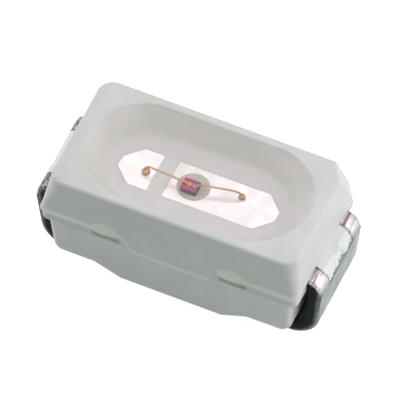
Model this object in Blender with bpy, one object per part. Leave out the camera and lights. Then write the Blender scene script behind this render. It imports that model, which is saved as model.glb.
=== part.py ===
"""Two-lead surface-mount light-emitting diode in a moulded reflector package. Metres, +Z up.

The origin is the middle of the outline, on the plane that the solder feet rest on. +X runs
along the length, from the anode end to the cathode end. The polarity cut is at +X +Y.
"""

from math import cos, pi, radians, sin, tan

import bmesh
import bpy
from mathutils import Matrix, Vector

MM = 0.001

# Package outline
OVERALL_LENGTH = 3.20 * MM  # over the outer faces of the two lead plates
OVERALL_HEIGHT = 1.43 * MM  # solder plane to top face
SEAT_GAP = 0.002 * MM  # between pieces that touch

# Upper half of the housing, above the leadframe
UPPER_HEIGHT = 0.456 * MM
TOP_LENGTH = 2.75 * MM
TOP_WIDTH = 1.42 * MM
UPPER_DRAFT = radians(8.3)
TOP_CORNER_RADIUS = 0.17 * MM
RIDGE_CORNER_RADIUS = 0.08 * MM
TOP_EDGE_RADIUS = 0.035 * MM

# Polarity cut across the top corner at +X +Y
CUT_ALONG_END = 0.26 * MM
CUT_ALONG_SIDE = 0.16 * MM
CUT_DEPTH = 0.40 * MM

# Parting band, as thick as the leadframe, and the skirt between the tie-bar pockets
BAND_INSET = 0.012 * MM
SKIRT_OVERRUN = 0.04 * MM

# Lower half and the central foot
LOWER_END_STEP = 0.075 * MM
LOWER_SIDE_STEP = 0.018 * MM
LOWER_DRAFT = radians(4.5)
LOWER_EDGE_RADIUS = 0.09 * MM
LOWER_CORNER_RADIUS = 0.085 * MM
WALL_OVERRUN = 0.003 * MM  # the side view runs this far past the walls that trim it
BODY_CLEARANCE = 0.104 * MM  # solder foot to the underside above it
FOOT_STANDOFF = 0.142 * MM
FOOT_LENGTH = 1.10 * MM
FOOT_RAMP = 0.22 * MM

# Tie-bar pockets, each under a small lid, two on each long side
TIE_BAR_PLACE = 0.71 * MM  # from the middle, along X
POCKET_WIDTH = 0.34 * MM
POCKET_DEPTH = 0.05 * MM
LID_WIDTH = 0.31 * MM
LID_HEIGHT = 0.11 * MM
LID_REACH = 0.042 * MM
LID_ROOT = 0.03 * MM  # how far it starts below the pocket's top, which trims it

# Reflector cavity and the window in its floor
SIDE_RIM = 0.104 * MM
END_RIM = 0.145 * MM
CAVITY_SIDE_DRAFT = radians(17.3)
CAVITY_END_DRAFT = radians(30.8)
FLOOR_COVER = 0.02 * MM  # moulding over the leadframe
FLOOR_END_LEDGE = 0.09 * MM
WINDOW_WIDTH = 0.49 * MM
WINDOW_CHAMFER = 0.18 * MM

# Leadframe: a strip folded down at each end and in under the housing
FRAME_THICKNESS = 0.15 * MM
LEAD_WIDTH = 1.00 * MM
PRONG_WIDTH = 0.21 * MM
PRONG_LENGTH = 0.42 * MM  # from the outer plate inwards
PRONG_WINDOW_HEIGHT = 0.205 * MM
TOP_BEND_RADIUS = 0.03 * MM  # inside the bend
FOOT_BEND_RADIUS = 0.21 * MM  # inside the bend
SOLDER_FOOT_LENGTH = 0.70 * MM  # from the outline inwards
PLATE_TILT = radians(5)  # the outer plate leans in towards its foot
PAD_GAP = 0.17 * MM
PAD_GAP_PLACE = 0.40 * MM  # its middle, from the origin towards the anode end
WEB_REACH = 0.13 * MM  # moulding between the prongs, past the end wall

# Chip and what bonds it
CHIP_LENGTH = 0.174 * MM
CHIP_WIDTH = 0.150 * MM
CHIP_HEIGHT = 0.100 * MM
CHIP_OFFSET_X = 0.016 * MM  # its middle from the adhesive spot's, towards the anode
CHIP_OFFSET_Y = 0.036 * MM  # and towards -Y
ATTACH_INSET = 0.253 * MM  # the spot's middle, from the cathode pad's edge
ATTACH_RADIUS = 0.175 * MM
ATTACH_THICKNESS = 0.012 * MM
BOND_PAD_RADIUS = 0.030 * MM
BOND_PAD_THICKNESS = 0.004 * MM
ANODE_PAD_OFFSET = 0.010 * MM  # bond pad's middle from the chip's, towards the anode
CATHODE_PAD_OFFSET = 0.052 * MM

# Bond wires
WIRE_DIAMETER = 0.025 * MM
ANODE_BALL_DIAMETER = 0.090 * MM
CATHODE_BALL_DIAMETER = 0.074 * MM
BALL_FLATNESS = 0.6  # a squashed ball's height against its diameter
BALL_WAIST = 0.4  # its widest place against its height
WEDGE_DIAMETER = 0.052 * MM  # the flattened wire end on the chip
WEDGE_HEIGHT = 0.022 * MM
ANODE_BALL_INSET = 0.096 * MM  # from the anode pad's edge
ANODE_BALL_SHIFT = 0.027 * MM  # towards -Y
CATHODE_BALL_REACH = 0.523 * MM  # from the chip's middle
CATHODE_BALL_SHIFT = 0.085 * MM  # towards +Y
ANODE_WIRE_RISE = 0.14 * MM
CATHODE_WIRE_RISE = 0.11 * MM
# Share of the way from ball to chip, and share of the rise, for each point of a loop
ANODE_LOOP = (
    (-0.03, 0.24),
    (-0.01, 0.62),
    (0.035, 0.92),
    (0.09, 1.0),
    (0.20, 0.92),
    (0.43, 0.69),
    (0.69, 0.38),
    (0.88, 0.18),
)
CATHODE_LOOP = (
    (0.0, 0.28),
    (0.03, 0.66),
    (0.12, 0.92),
    (0.28, 0.94),
    (0.45, 0.84),
    (0.62, 0.76),
    (0.78, 0.66),
    (0.90, 0.42),
)

# Clear resin in the cavity
RESIN_FILL_DROP = 0.006 * MM  # its edge, below the top face
RESIN_DISH = 0.030 * MM  # its middle, below its edge

# Smoothness of round forms
CORNER_STEPS = 8
EDGE_STEPS = 3
CAVITY_STEPS = 20
BEND_STEPS = 8
WIRE_SIDES = 8
WIRE_STEPS = 4
BALL_SEGMENTS = 12
BALL_RINGS = 8
LID_SEGMENTS = 20
LID_RINGS = 12
DISC_SEGMENTS = 32
DISH_STEPS = 4

# Cutters run this far past what they cut
BEYOND = 0.05 * MM

# Levels and outlines that follow from the sizes above
FRAME_TOP = OVERALL_HEIGHT - UPPER_HEIGHT
FRAME_BOTTOM = FRAME_TOP - FRAME_THICKNESS
UPPER_SPREAD = UPPER_HEIGHT * tan(UPPER_DRAFT)
RIDGE_X = TOP_LENGTH / 2 + UPPER_SPREAD
RIDGE_Y = TOP_WIDTH / 2 + UPPER_SPREAD
SKIRT_X = TIE_BAR_PLACE - POCKET_WIDTH / 2 + SKIRT_OVERRUN
UNDERSIDE = FRAME_THICKNESS + BODY_CLEARANCE
FLOOR = FRAME_TOP + FLOOR_COVER
CAVITY_DEPTH = OVERALL_HEIGHT - FLOOR
CAVITY_TOP_X = TOP_LENGTH / 2 - END_RIM
CAVITY_TOP_Y = TOP_WIDTH / 2 - SIDE_RIM
FLOOR_X = CAVITY_TOP_X - CAVITY_DEPTH * tan(CAVITY_END_DRAFT)
FLOOR_Y = CAVITY_TOP_Y - CAVITY_DEPTH * tan(CAVITY_SIDE_DRAFT)
WINDOW_X = FLOOR_X - FLOOR_END_LEDGE
WINDOW_Y = WINDOW_WIDTH / 2
ANODE_PAD_EDGE = -PAD_GAP_PLACE - PAD_GAP / 2
CATHODE_PAD_EDGE = -PAD_GAP_PLACE + PAD_GAP / 2
ATTACH_X = CATHODE_PAD_EDGE + ATTACH_INSET
CHIP_X = ATTACH_X - CHIP_OFFSET_X
CHIP_Y = -CHIP_OFFSET_Y
ATTACH_BOTTOM = FRAME_TOP + SEAT_GAP
CHIP_BOTTOM = ATTACH_BOTTOM + ATTACH_THICKNESS + SEAT_GAP
CHIP_TOP = CHIP_BOTTOM + CHIP_HEIGHT
BOND_PAD_BOTTOM = CHIP_TOP + SEAT_GAP
BOND_PAD_TOP = BOND_PAD_BOTTOM + BOND_PAD_THICKNESS


def clear_scene():
    for item in list(bpy.data.objects):
        bpy.data.objects.remove(item, do_unlink=True)


def make_material(name, colour, roughness, metallic=0.0, alpha=1.0):
    material = bpy.data.materials.new(name)
    material.use_nodes = True
    shader = material.node_tree.nodes["Principled BSDF"]
    shader.inputs["Base Color"].default_value = (*colour, 1.0)
    shader.inputs["Roughness"].default_value = roughness
    shader.inputs["Metallic"].default_value = metallic
    shader.inputs["Alpha"].default_value = alpha
    material.diffuse_color = (*colour, alpha)
    return material


def object_from(mesh_maker, name):
    """A new object whose faces point outwards."""
    bmesh.ops.recalc_face_normals(mesh_maker, faces=mesh_maker.faces)
    mesh = bpy.data.meshes.new(name)
    mesh_maker.to_mesh(mesh)
    mesh_maker.free()
    made = bpy.data.objects.new(name, mesh)
    bpy.context.scene.collection.objects.link(made)
    return made


def finish(made, material):
    split = made.modifiers.new("even triangles", "TRIANGULATE")
    split.ngon_method = "BEAUTY"
    made.data.materials.clear()
    made.data.materials.append(material)
    made.data.shade_smooth()
    made.data.set_sharp_from_angle(angle=radians(30))
    return made


def as_helper(made):
    made.hide_render = True
    made.display_type = "WIRE"
    return made


def combine(target, other, operation):
    """Joins a helper to the target, cuts it away or keeps what they share."""
    modifier = target.modifiers.new(f"{operation.lower()} {other.name}", "BOOLEAN")
    modifier.operation = operation
    modifier.object = as_helper(other)
    modifier.solver = "EXACT"


def loft(name, rings):
    """A closed solid through rings of equally many points, flat at both ends."""
    maker = bmesh.new()
    loops = [[maker.verts.new(point) for point in ring] for ring in rings]
    count = len(loops[0])
    for lower, upper in zip(loops, loops[1:]):
        for i in range(count):
            j = (i + 1) % count
            maker.faces.new((lower[i], lower[j], upper[j], upper[i]))
    maker.faces.new(loops[0])
    maker.faces.new(loops[-1])
    return object_from(maker, name)


def prism(name, outline, direction):
    """The flat outline, extruded along the direction."""
    shift = Vector(direction)
    return loft(name, [outline, [Vector(point) + shift for point in outline]])


def box(name, low, high):
    base = [
        (low[0], low[1], low[2]),
        (high[0], low[1], low[2]),
        (high[0], high[1], low[2]),
        (low[0], high[1], low[2]),
    ]
    return prism(name, base, (0, 0, high[2] - low[2]))


def cut_flat(maker, level):
    """Takes away what lies below the level and closes the cut."""
    cut = bmesh.ops.bisect_plane(
        maker,
        geom=maker.verts[:] + maker.edges[:] + maker.faces[:],
        dist=1e-9,
        plane_co=(0, 0, level),
        plane_no=(0, 0, 1),
        clear_inner=True,
    )
    edges = [item for item in cut["geom_cut"] if isinstance(item, bmesh.types.BMEdge)]
    bmesh.ops.contextual_create(maker, geom=edges)


def arc(centre_x, centre_y, radius, start, sweep, steps):
    """Points on an arc in a plane, both ends included."""
    turns = [start + sweep * i / steps for i in range(steps + 1)]
    return [(centre_x + radius * cos(a), centre_y + radius * sin(a)) for a in turns]


def rounded_rectangle(half_x, half_y, radius, z):
    corners = (
        (half_x - radius, half_y - radius, 0),
        (radius - half_x, half_y - radius, pi / 2),
        (radius - half_x, radius - half_y, pi),
        (half_x - radius, radius - half_y, 3 * pi / 2),
    )
    ring = []
    for x, y, start in corners:
        ring += arc(x, y, radius, start, pi / 2, CORNER_STEPS)
    return [(x, y, z) for x, y in ring]


def stadium(half_x, half_y, z):
    """A rectangle whose ends are half circles."""
    reach = half_x - half_y
    ring = arc(reach, 0, half_y, -pi / 2, pi, CAVITY_STEPS)
    ring += arc(-reach, 0, half_y, pi / 2, pi, CAVITY_STEPS)
    return [(x, y, z) for x, y in ring]


def octagon(half_x, half_y, chamfer, z):
    inner_x = half_x - chamfer
    inner_y = half_y - chamfer
    quarter = [(half_x, inner_y), (inner_x, half_y)]
    ring = quarter + [(-x, y) for x, y in reversed(quarter)]
    ring += [(-x, -y) for x, y in quarter]
    ring += [(x, -y) for x, y in reversed(quarter)]
    return [(x, y, z) for x, y in ring]


# Housing


def upper_half():
    """Drafted walls with a rounded top edge, run down past the leadframe."""
    rings = []
    for z in (FRAME_BOTTOM, FRAME_TOP - SEAT_GAP):
        spread = (FRAME_TOP - z) * tan(UPPER_DRAFT)
        ring = rounded_rectangle(RIDGE_X + spread, RIDGE_Y + spread, RIDGE_CORNER_RADIUS, z)
        rings.append(ring)
    for i in range(EDGE_STEPS + 1):
        turn = pi / 2 * i / EDGE_STEPS
        inset = TOP_EDGE_RADIUS * (1 - cos(turn))
        drop = TOP_EDGE_RADIUS * (1 - sin(turn))
        spread = drop * tan(UPPER_DRAFT) - inset
        ring = rounded_rectangle(
            TOP_LENGTH / 2 + spread,
            TOP_WIDTH / 2 + spread,
            TOP_CORNER_RADIUS - inset,
            OVERALL_HEIGHT - drop,
        )
        rings.append(ring)
    return loft("housing", rings)


def end_relief(name, side):
    """Outside the tie-bar pockets the upper half stops at the leadframe's top."""
    half_y = RIDGE_Y + FRAME_THICKNESS
    reach = sorted((side * SKIRT_X, side * (RIDGE_X + FRAME_THICKNESS)))
    low = (reach[0], -half_y, FRAME_BOTTOM - BEYOND)
    return box(name, low, (reach[1], half_y, FRAME_TOP))


def band():
    """The wall around the leadframe, set in a little under the ridge."""
    half_x = RIDGE_X - BAND_INSET
    half_y = RIDGE_Y - BAND_INSET
    levels = (FRAME_BOTTOM, FRAME_TOP + FLOOR_COVER)
    rings = [rounded_rectangle(half_x, half_y, RIDGE_CORNER_RADIUS, z) for z in levels]
    return loft("band", rings)


def lower_profile():
    """Side view of the lower half: rounded ends, ramps and the central foot."""
    height = FRAME_BOTTOM - UNDERSIDE
    end_x = RIDGE_X - LOWER_END_STEP + WALL_OVERRUN
    base_x = end_x - height * tan(LOWER_DRAFT)
    ramp_x = FOOT_LENGTH / 2 + FOOT_RAMP
    right = [(end_x, FRAME_BOTTOM + FRAME_THICKNESS / 2)]
    right.append((end_x, FRAME_BOTTOM))
    right += reversed(
        arc(
            base_x - LOWER_EDGE_RADIUS,
            UNDERSIDE + LOWER_EDGE_RADIUS,
            LOWER_EDGE_RADIUS,
            -pi / 2,
            pi / 2,
            BEND_STEPS,
        )
    )
    right += [(ramp_x, UNDERSIDE), (FOOT_LENGTH / 2, FOOT_STANDOFF)]
    return right + [(-x, z) for x, z in reversed(right)]


def lower_half():
    """The side view across the width, kept within drafted side walls."""
    half_x = RIDGE_X - LOWER_END_STEP
    half_y = RIDGE_Y - LOWER_SIDE_STEP
    lowest = FOOT_STANDOFF - BEYOND
    taper = (FRAME_BOTTOM - lowest) * tan(LOWER_DRAFT)
    outline = [(x, -RIDGE_Y, z) for x, z in lower_profile()]
    body = prism("lower_half", outline, (0, 2 * RIDGE_Y, 0))
    rings = [
        rounded_rectangle(half_x - taper, half_y - taper, LOWER_CORNER_RADIUS, lowest),
        rounded_rectangle(half_x, half_y, LOWER_CORNER_RADIUS, FRAME_BOTTOM),
        rounded_rectangle(half_x + BEYOND, half_y, LOWER_CORNER_RADIUS, FRAME_TOP),
    ]
    combine(body, loft("lower_walls", rings), "INTERSECT")
    return body


def lid(name, x, side):
    """A quarter-round lid over a tie-bar pocket; the pocket trims its underside."""
    maker = bmesh.new()
    bmesh.ops.create_uvsphere(maker, u_segments=LID_SEGMENTS, v_segments=LID_RINGS, radius=1.0)
    place = Matrix.Translation((x, side * RIDGE_Y, FRAME_TOP))
    size = Matrix.Diagonal((LID_WIDTH / 2, LID_REACH, LID_HEIGHT, 1))
    bmesh.ops.transform(maker, matrix=place @ size, verts=maker.verts)
    cut_flat(maker, FRAME_TOP - LID_ROOT)
    return object_from(maker, name)


def pocket(name, x, side):
    wall = side * (RIDGE_Y - BAND_INSET)
    depth = sorted((wall - side * POCKET_DEPTH, wall + side * (LID_REACH + BEYOND)))
    low = (x - POCKET_WIDTH / 2, depth[0], FRAME_BOTTOM)
    high = (x + POCKET_WIDTH / 2, depth[1], FRAME_TOP)
    return box(name, low, high)


def polarity_cutter():
    """A wedge over the top corner, under a plane through three points of its edges."""
    x = TOP_LENGTH / 2
    y = TOP_WIDTH / 2
    top = OVERALL_HEIGHT
    a = Vector((x - CUT_ALONG_SIDE, y, top))
    b = Vector((x, y - CUT_ALONG_END, top))
    c = Vector((x, y, top - CUT_DEPTH))
    normal = (b - a).cross(c - a).normalized()
    if normal.z < 0:
        normal = -normal
    middle = (a + b + c) / 3
    along = (b - a).normalized()
    across = normal.cross(along)
    reach = CUT_ALONG_END + CUT_ALONG_SIDE + CUT_DEPTH
    turns = ((1, 1), (-1, 1), (-1, -1), (1, -1))
    base = [middle + (along * i + across * j) * reach for i, j in turns]
    return prism("polarity_cut", base, normal * reach)


def prong_web(name, side):
    """Moulding that fills the window between a lead's two prongs."""
    low = FRAME_TOP - PRONG_WINDOW_HEIGHT + SEAT_GAP
    reach = RIDGE_X + WEB_REACH
    root = RIDGE_X - LOWER_END_STEP - BEYOND
    half_y = LEAD_WIDTH / 2 - PRONG_WIDTH - SEAT_GAP
    outline = [
        (root, low),
        (reach, low),
        (reach, FRAME_BOTTOM + FRAME_THICKNESS / 2),
        (RIDGE_X - BAND_INSET, FRAME_TOP + FLOOR_COVER / 2),
        (root, FRAME_TOP + FLOOR_COVER / 2),
    ]
    points = [(side * x, -half_y, z) for x, z in outline]
    return prism(name, points, (0, 2 * half_y, 0))


def cavity():
    """The reflector's space: drafted walls from the floor to past the top face."""
    rings = []
    for z in (FLOOR, OVERALL_HEIGHT + BEYOND):
        half_x = FLOOR_X + (z - FLOOR) * tan(CAVITY_END_DRAFT)
        half_y = FLOOR_Y + (z - FLOOR) * tan(CAVITY_SIDE_DRAFT)
        rings.append(stadium(half_x, half_y, z))
    return loft("cavity_space", rings)


def housing(leads):
    body = upper_half()
    for end, side in (("anode", -1), ("cathode", 1)):
        combine(body, end_relief(f"{end}_relief", side), "DIFFERENCE")
    for helper in (band(), lower_half()):
        combine(body, helper, "UNION")
    for end, x in (("anode", -TIE_BAR_PLACE), ("cathode", TIE_BAR_PLACE)):
        for face, side in (("front", -1), ("back", 1)):
            combine(body, lid(f"{end}_{face}_lid", x, side), "UNION")
    for end, side in (("anode", -1), ("cathode", 1)):
        combine(body, prong_web(f"{end}_web", side), "UNION")
    for end, x in (("anode", -TIE_BAR_PLACE), ("cathode", TIE_BAR_PLACE)):
        for face, side in (("front", -1), ("back", 1)):
            combine(body, pocket(f"{end}_{face}_pocket", x, side), "DIFFERENCE")
    combine(body, polarity_cutter(), "DIFFERENCE")
    combine(body, cavity(), "DIFFERENCE")
    window = octagon(WINDOW_X, WINDOW_Y, WINDOW_CHAMFER, FRAME_TOP)
    combine(body, prism("floor_window", window, (0, 0, FLOOR_COVER + BEYOND)), "DIFFERENCE")
    for cutter in leads:
        combine(body, cutter, "DIFFERENCE")
    return body


# Leads


def strip_profile(pad_edge, grow):
    """Side view of a lead from its pad to its solder foot, as if at the +X end."""
    top_radius = TOP_BEND_RADIUS + FRAME_THICKNESS
    foot_radius = FOOT_BEND_RADIUS + FRAME_THICKNESS
    top_x = OVERALL_LENGTH / 2 - top_radius
    top_z = FRAME_TOP - top_radius
    # Both bends touch the leaning plate, which sets the lower one's place.
    lean = (foot_radius - top_z) * sin(PLATE_TILT) + top_radius - foot_radius
    foot_x = top_x + lean / cos(PLATE_TILT)
    foot_end = OVERALL_LENGTH / 2 - SOLDER_FOOT_LENGTH - grow

    def top_bend(radius):
        lowest = (top_x + radius * cos(PLATE_TILT), top_z - radius * sin(PLATE_TILT))
        return [lowest] + arc(top_x, top_z, radius, 0, pi / 2, BEND_STEPS)

    def foot_bend(radius):
        return arc(foot_x, foot_radius, radius, -pi / 2, pi / 2 - PLATE_TILT, BEND_STEPS)

    outer = [(pad_edge - grow, FRAME_TOP + grow)]
    outer += reversed(top_bend(top_radius + grow))
    outer += reversed(foot_bend(foot_radius + grow))
    outer.append((foot_end, -grow))
    inner = [(foot_end, FRAME_THICKNESS + grow)]
    inner += foot_bend(FOOT_BEND_RADIUS - grow)
    inner += top_bend(TOP_BEND_RADIUS - grow)
    inner.append((pad_edge - grow, FRAME_BOTTOM - grow))
    return outer + inner


def lead(name, side, pad_edge, grow):
    """A folded strip with a window between its two prongs."""
    half_y = LEAD_WIDTH / 2 + grow
    outline = [(side * x, -half_y, z) for x, z in strip_profile(side * pad_edge, grow)]
    strip = prism(name, outline, (0, 2 * half_y, 0))
    window_y = LEAD_WIDTH / 2 - PRONG_WIDTH - grow
    end = OVERALL_LENGTH / 2
    reach = sorted((side * (end - PRONG_LENGTH + grow), side * (end + BEYOND)))
    low = (reach[0], -window_y, FRAME_TOP - PRONG_WINDOW_HEIGHT + grow)
    high = (reach[1], window_y, FRAME_TOP + BEYOND)
    combine(strip, box(f"{name}_window", low, high), "DIFFERENCE")
    return strip


# Chip and bond wires


def attach_spot(name, grow):
    """The adhesive spot: its edge slopes in a little towards the top."""
    rings = []
    for z, radius in (
        (ATTACH_BOTTOM - grow, ATTACH_RADIUS + grow),
        (ATTACH_BOTTOM + ATTACH_THICKNESS + grow, ATTACH_RADIUS - ATTACH_THICKNESS + grow),
    ):
        ring = arc(ATTACH_X, 0, radius, 0, 2 * pi, DISC_SEGMENTS)[:-1]
        rings.append([(x, y, z) for x, y in ring])
    return loft(name, rings)


def chip(name, grow):
    half_x = CHIP_LENGTH / 2 + grow
    half_y = CHIP_WIDTH / 2 + grow
    low = (CHIP_X - half_x, CHIP_Y - half_y, CHIP_BOTTOM - grow)
    high = (CHIP_X + half_x, CHIP_Y + half_y, CHIP_TOP + grow)
    return box(name, low, high)


def smooth_route(points, steps):
    """A curve through every point, each stretch bent by its neighbours."""
    ends = [points[0] * 2 - points[1]] + points + [points[-1] * 2 - points[-2]]
    route = []
    for a, b, c, d in zip(ends, ends[1:], ends[2:], ends[3:]):
        slope = c - a
        bend = a * 2 - b * 5 + c * 4 - d
        twist = b * 3 - a - c * 3 + d
        for i in range(steps):
            t = i / steps
            route.append(b + (slope * t + bend * t**2 + twist * t**3) / 2)
    route.append(points[-1])
    return route


def tube(name, route, radius):
    """A round tube along the route, its rings kept untwisted."""
    rings = []
    turns = [2 * pi * k / WIRE_SIDES for k in range(WIRE_SIDES)]
    side = (route[1] - route[0]).orthogonal().normalized()
    for i, point in enumerate(route):
        ahead = (route[min(i + 1, len(route) - 1)] - route[max(i - 1, 0)]).normalized()
        side = (side - ahead * side.dot(ahead)).normalized()
        other = ahead.cross(side)
        rings.append([point + (side * cos(a) + other * sin(a)) * radius for a in turns])
    return loft(name, rings)


def bond_bump(name, place, radius, height, grow):
    """A squashed ball that stands flat on what it is bonded to."""
    maker = bmesh.new()
    bmesh.ops.create_uvsphere(maker, u_segments=BALL_SEGMENTS, v_segments=BALL_RINGS, radius=1.0)
    half_height = height * (1 - BALL_WAIST)
    size = Matrix.Diagonal((radius + grow, radius + grow, half_height + grow, 1))
    centre = Vector(place) + Vector((0, 0, height * BALL_WAIST))
    bmesh.ops.transform(maker, matrix=Matrix.Translation(centre) @ size, verts=maker.verts)
    cut_flat(maker, place[2] - grow)
    return object_from(maker, name)


def bond_wire(name, ball, ball_diameter, landing, rise, loop, grow):
    """Wire, ball and the flattened end on the chip, as one piece."""
    ball_height = ball_diameter * BALL_FLATNESS
    start = Vector(ball) + Vector((0, 0, ball_height / 2))
    end = Vector(landing) + Vector((0, 0, WEDGE_HEIGHT / 2))
    points = [start]
    for share, lift in loop:
        points.append(start.lerp(end, share) + Vector((0, 0, rise * lift)))
    points.append(end)
    wire = tube(name, smooth_route(points, WIRE_STEPS), WIRE_DIAMETER / 2 + grow)
    bumps = (
        bond_bump(f"{name}_ball", ball, ball_diameter / 2, ball_height, grow),
        bond_bump(f"{name}_wedge", landing, WEDGE_DIAMETER / 2, WEDGE_HEIGHT, grow),
    )
    for bump in bumps:
        combine(wire, bump, "UNION")
    return wire


def anode_wire(name, grow):
    ball = (ANODE_PAD_EDGE - ANODE_BALL_INSET, -ANODE_BALL_SHIFT, FRAME_TOP + SEAT_GAP)
    landing = (CHIP_X - ANODE_PAD_OFFSET, CHIP_Y, BOND_PAD_TOP + SEAT_GAP)
    size = ANODE_BALL_DIAMETER
    return bond_wire(name, ball, size, landing, ANODE_WIRE_RISE, ANODE_LOOP, grow)


def cathode_wire(name, grow):
    ball = (CHIP_X + CATHODE_BALL_REACH, CATHODE_BALL_SHIFT, FRAME_TOP + SEAT_GAP)
    landing = (CHIP_X + CATHODE_PAD_OFFSET, CHIP_Y, BOND_PAD_TOP + SEAT_GAP)
    size = CATHODE_BALL_DIAMETER
    return bond_wire(name, ball, size, landing, CATHODE_WIRE_RISE, CATHODE_LOOP, grow)


def bond_pad(name, x, grow):
    maker = bmesh.new()
    bmesh.ops.create_cone(
        maker,
        cap_ends=True,
        segments=BALL_SEGMENTS,
        radius1=BOND_PAD_RADIUS + grow,
        radius2=BOND_PAD_RADIUS + grow,
        depth=BOND_PAD_THICKNESS + 2 * grow,
        matrix=Matrix.Translation((x, CHIP_Y, (BOND_PAD_BOTTOM + BOND_PAD_TOP) / 2)),
    )
    return object_from(maker, name)


# Resin


def resin():
    """Clear fill with a dished surface, hollow around the chip and its wires."""
    edge = OVERALL_HEIGHT - RESIN_FILL_DROP
    rings = [stadium(FLOOR_X - SEAT_GAP, FLOOR_Y - SEAT_GAP, FLOOR + SEAT_GAP)]
    top_x = FLOOR_X + (edge - FLOOR) * tan(CAVITY_END_DRAFT) - SEAT_GAP
    top_y = FLOOR_Y + (edge - FLOOR) * tan(CAVITY_SIDE_DRAFT) - SEAT_GAP
    for i in range(DISH_STEPS + 1):
        inward = i / (DISH_STEPS + 1)
        inset = top_y * inward
        drop = RESIN_DISH * (1 - (1 - inward) ** 2)
        rings.append(stadium(top_x - inset, top_y - inset, edge - drop))
    body = loft("encapsulant", rings)
    half_x = WINDOW_X - SEAT_GAP
    half_y = WINDOW_Y - SEAT_GAP
    outline = octagon(half_x, half_y, WINDOW_CHAMFER, FRAME_TOP + SEAT_GAP)
    combine(body, prism("window_fill", outline, (0, 0, FLOOR_COVER + CAVITY_DEPTH / 2)), "UNION")
    hollows = (
        attach_spot("attach_hollow", SEAT_GAP),
        chip("chip_hollow", SEAT_GAP),
        bond_pad("anode_pad_hollow", CHIP_X - ANODE_PAD_OFFSET, SEAT_GAP),
        bond_pad("cathode_pad_hollow", CHIP_X + CATHODE_PAD_OFFSET, SEAT_GAP),
        anode_wire("anode_wire_hollow", SEAT_GAP),
        cathode_wire("cathode_wire_hollow", SEAT_GAP),
    )
    for hollow in hollows:
        combine(body, hollow, "DIFFERENCE")
    return body


def build():
    clear_scene()
    white = make_material("housing_moulding", (0.80, 0.80, 0.78), 0.45)
    plating = make_material("silver_plating", (0.90, 0.88, 0.87), 0.22, metallic=1.0)
    grey = make_material("die_attach_adhesive", (0.40, 0.40, 0.37), 0.55)
    violet = make_material("chip_crystal", (0.35, 0.08, 0.28), 0.25)
    gold = make_material("gold", (0.85, 0.52, 0.22), 0.25, metallic=1.0)
    clear = make_material("clear_resin", (0.95, 0.95, 0.94), 0.08, alpha=0.25)

    cutters = (
        lead("anode_lead_seat", -1, ANODE_PAD_EDGE, SEAT_GAP),
        lead("cathode_lead_seat", 1, CATHODE_PAD_EDGE, SEAT_GAP),
    )
    finish(housing(cutters), white)
    finish(lead("anode_lead", -1, ANODE_PAD_EDGE, 0), plating)
    finish(lead("cathode_lead", 1, CATHODE_PAD_EDGE, 0), plating)
    finish(attach_spot("die_attach", 0), grey)
    finish(chip("led_chip", 0), violet)
    finish(bond_pad("anode_bond_pad", CHIP_X - ANODE_PAD_OFFSET, 0), gold)
    finish(bond_pad("cathode_bond_pad", CHIP_X + CATHODE_PAD_OFFSET, 0), gold)
    finish(anode_wire("anode_wire", 0), gold)
    finish(cathode_wire("cathode_wire", 0), gold)
    finish(resin(), clear)


build()
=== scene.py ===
"""Looks of a two-lead surface-mount light-emitting diode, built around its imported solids.

Metres, +Z up, in the solids' own frame. The sections follow the order in which the real
part is put together: strip, moulding, adhesive, chip, wires, resin.
"""

from math import cos, hypot, pi, radians, sin, tan

import bmesh
import bpy
from mathutils import Matrix, Vector, noise


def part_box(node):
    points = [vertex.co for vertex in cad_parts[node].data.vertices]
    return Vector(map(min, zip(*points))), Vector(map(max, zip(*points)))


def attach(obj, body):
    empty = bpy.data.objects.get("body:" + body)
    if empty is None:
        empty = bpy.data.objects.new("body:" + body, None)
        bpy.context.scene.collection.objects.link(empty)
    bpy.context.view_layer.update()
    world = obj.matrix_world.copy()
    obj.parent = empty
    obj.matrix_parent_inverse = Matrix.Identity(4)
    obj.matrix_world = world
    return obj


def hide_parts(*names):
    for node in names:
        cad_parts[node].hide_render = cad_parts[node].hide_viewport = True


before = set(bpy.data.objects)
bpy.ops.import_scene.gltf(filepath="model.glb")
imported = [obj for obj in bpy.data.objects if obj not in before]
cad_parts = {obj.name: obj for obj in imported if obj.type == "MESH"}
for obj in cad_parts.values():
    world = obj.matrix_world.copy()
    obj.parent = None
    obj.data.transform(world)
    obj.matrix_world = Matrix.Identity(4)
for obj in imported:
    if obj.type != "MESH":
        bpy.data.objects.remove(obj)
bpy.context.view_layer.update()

# Leads
# Both are halves of one stamped copper-alloy strip, silver plated and cut apart between
# the pads. Each leaves the end of the housing as two prongs, folds down into one wide
# plate and folds in again to its solder foot. The punch leaves the sides torn; their
# near-black colour is painted shade.

MM = 0.001
STRIP_THICKNESS = 0.15 * MM
PRONG_WIDTH = 0.21 * MM
PRONG_LENGTH = 0.42 * MM
PRONG_WINDOW_HEIGHT = 0.205 * MM
TOP_BEND = 0.18 * MM  # outer radius
FOOT_BEND = 0.36 * MM  # outer radius
PLATE_LEAN = radians(5)
FOOT_LENGTH = 0.70 * MM
BEND_STEPS = 16
ROLLED_EDGE = 0.030 * MM  # the side that the punch went in
BURRED_EDGE = 0.007 * MM
PLATING = (0.81, 0.78, 0.78)
# Painted shade: the plate's darker, greener tone below the fold stands in for the dim surroundings it
# reflects.
PLATE_PAINTED_SHADE = (0.133, 0.163, 0.160)
INNER_PAINTED_SHADE = (0.06, 0.045, 0.035)
FOLDED = (0.42, 0.385, 0.40)
COPPER_BLUSH = (0.16, 0.085, 0.105)
WORN = (0.25, 0.25, 0.245)
SCUFFED = (0.045, 0.045, 0.045)
# Painted shade: the torn part of the cut sides is made near black.
TORN_PAINTED_SHADE = (0.004, 0.005, 0.005)
SHEARED_BRIGHT = (0.10, 0.11, 0.10)
PLATE_SHADE_START = 0.42  # where the plate's painted shade starts below the top, in bend radii
CRAZING_SCALE = (42000, 3500, 42000)  # fine along the strip, long across it
PLATED_FACE, SHEARED_FACE = range(2)  # the places of a lead's two materials
MARKS = ("through", "fold", "plate", "worn")  # values stored on a lead's points


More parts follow.
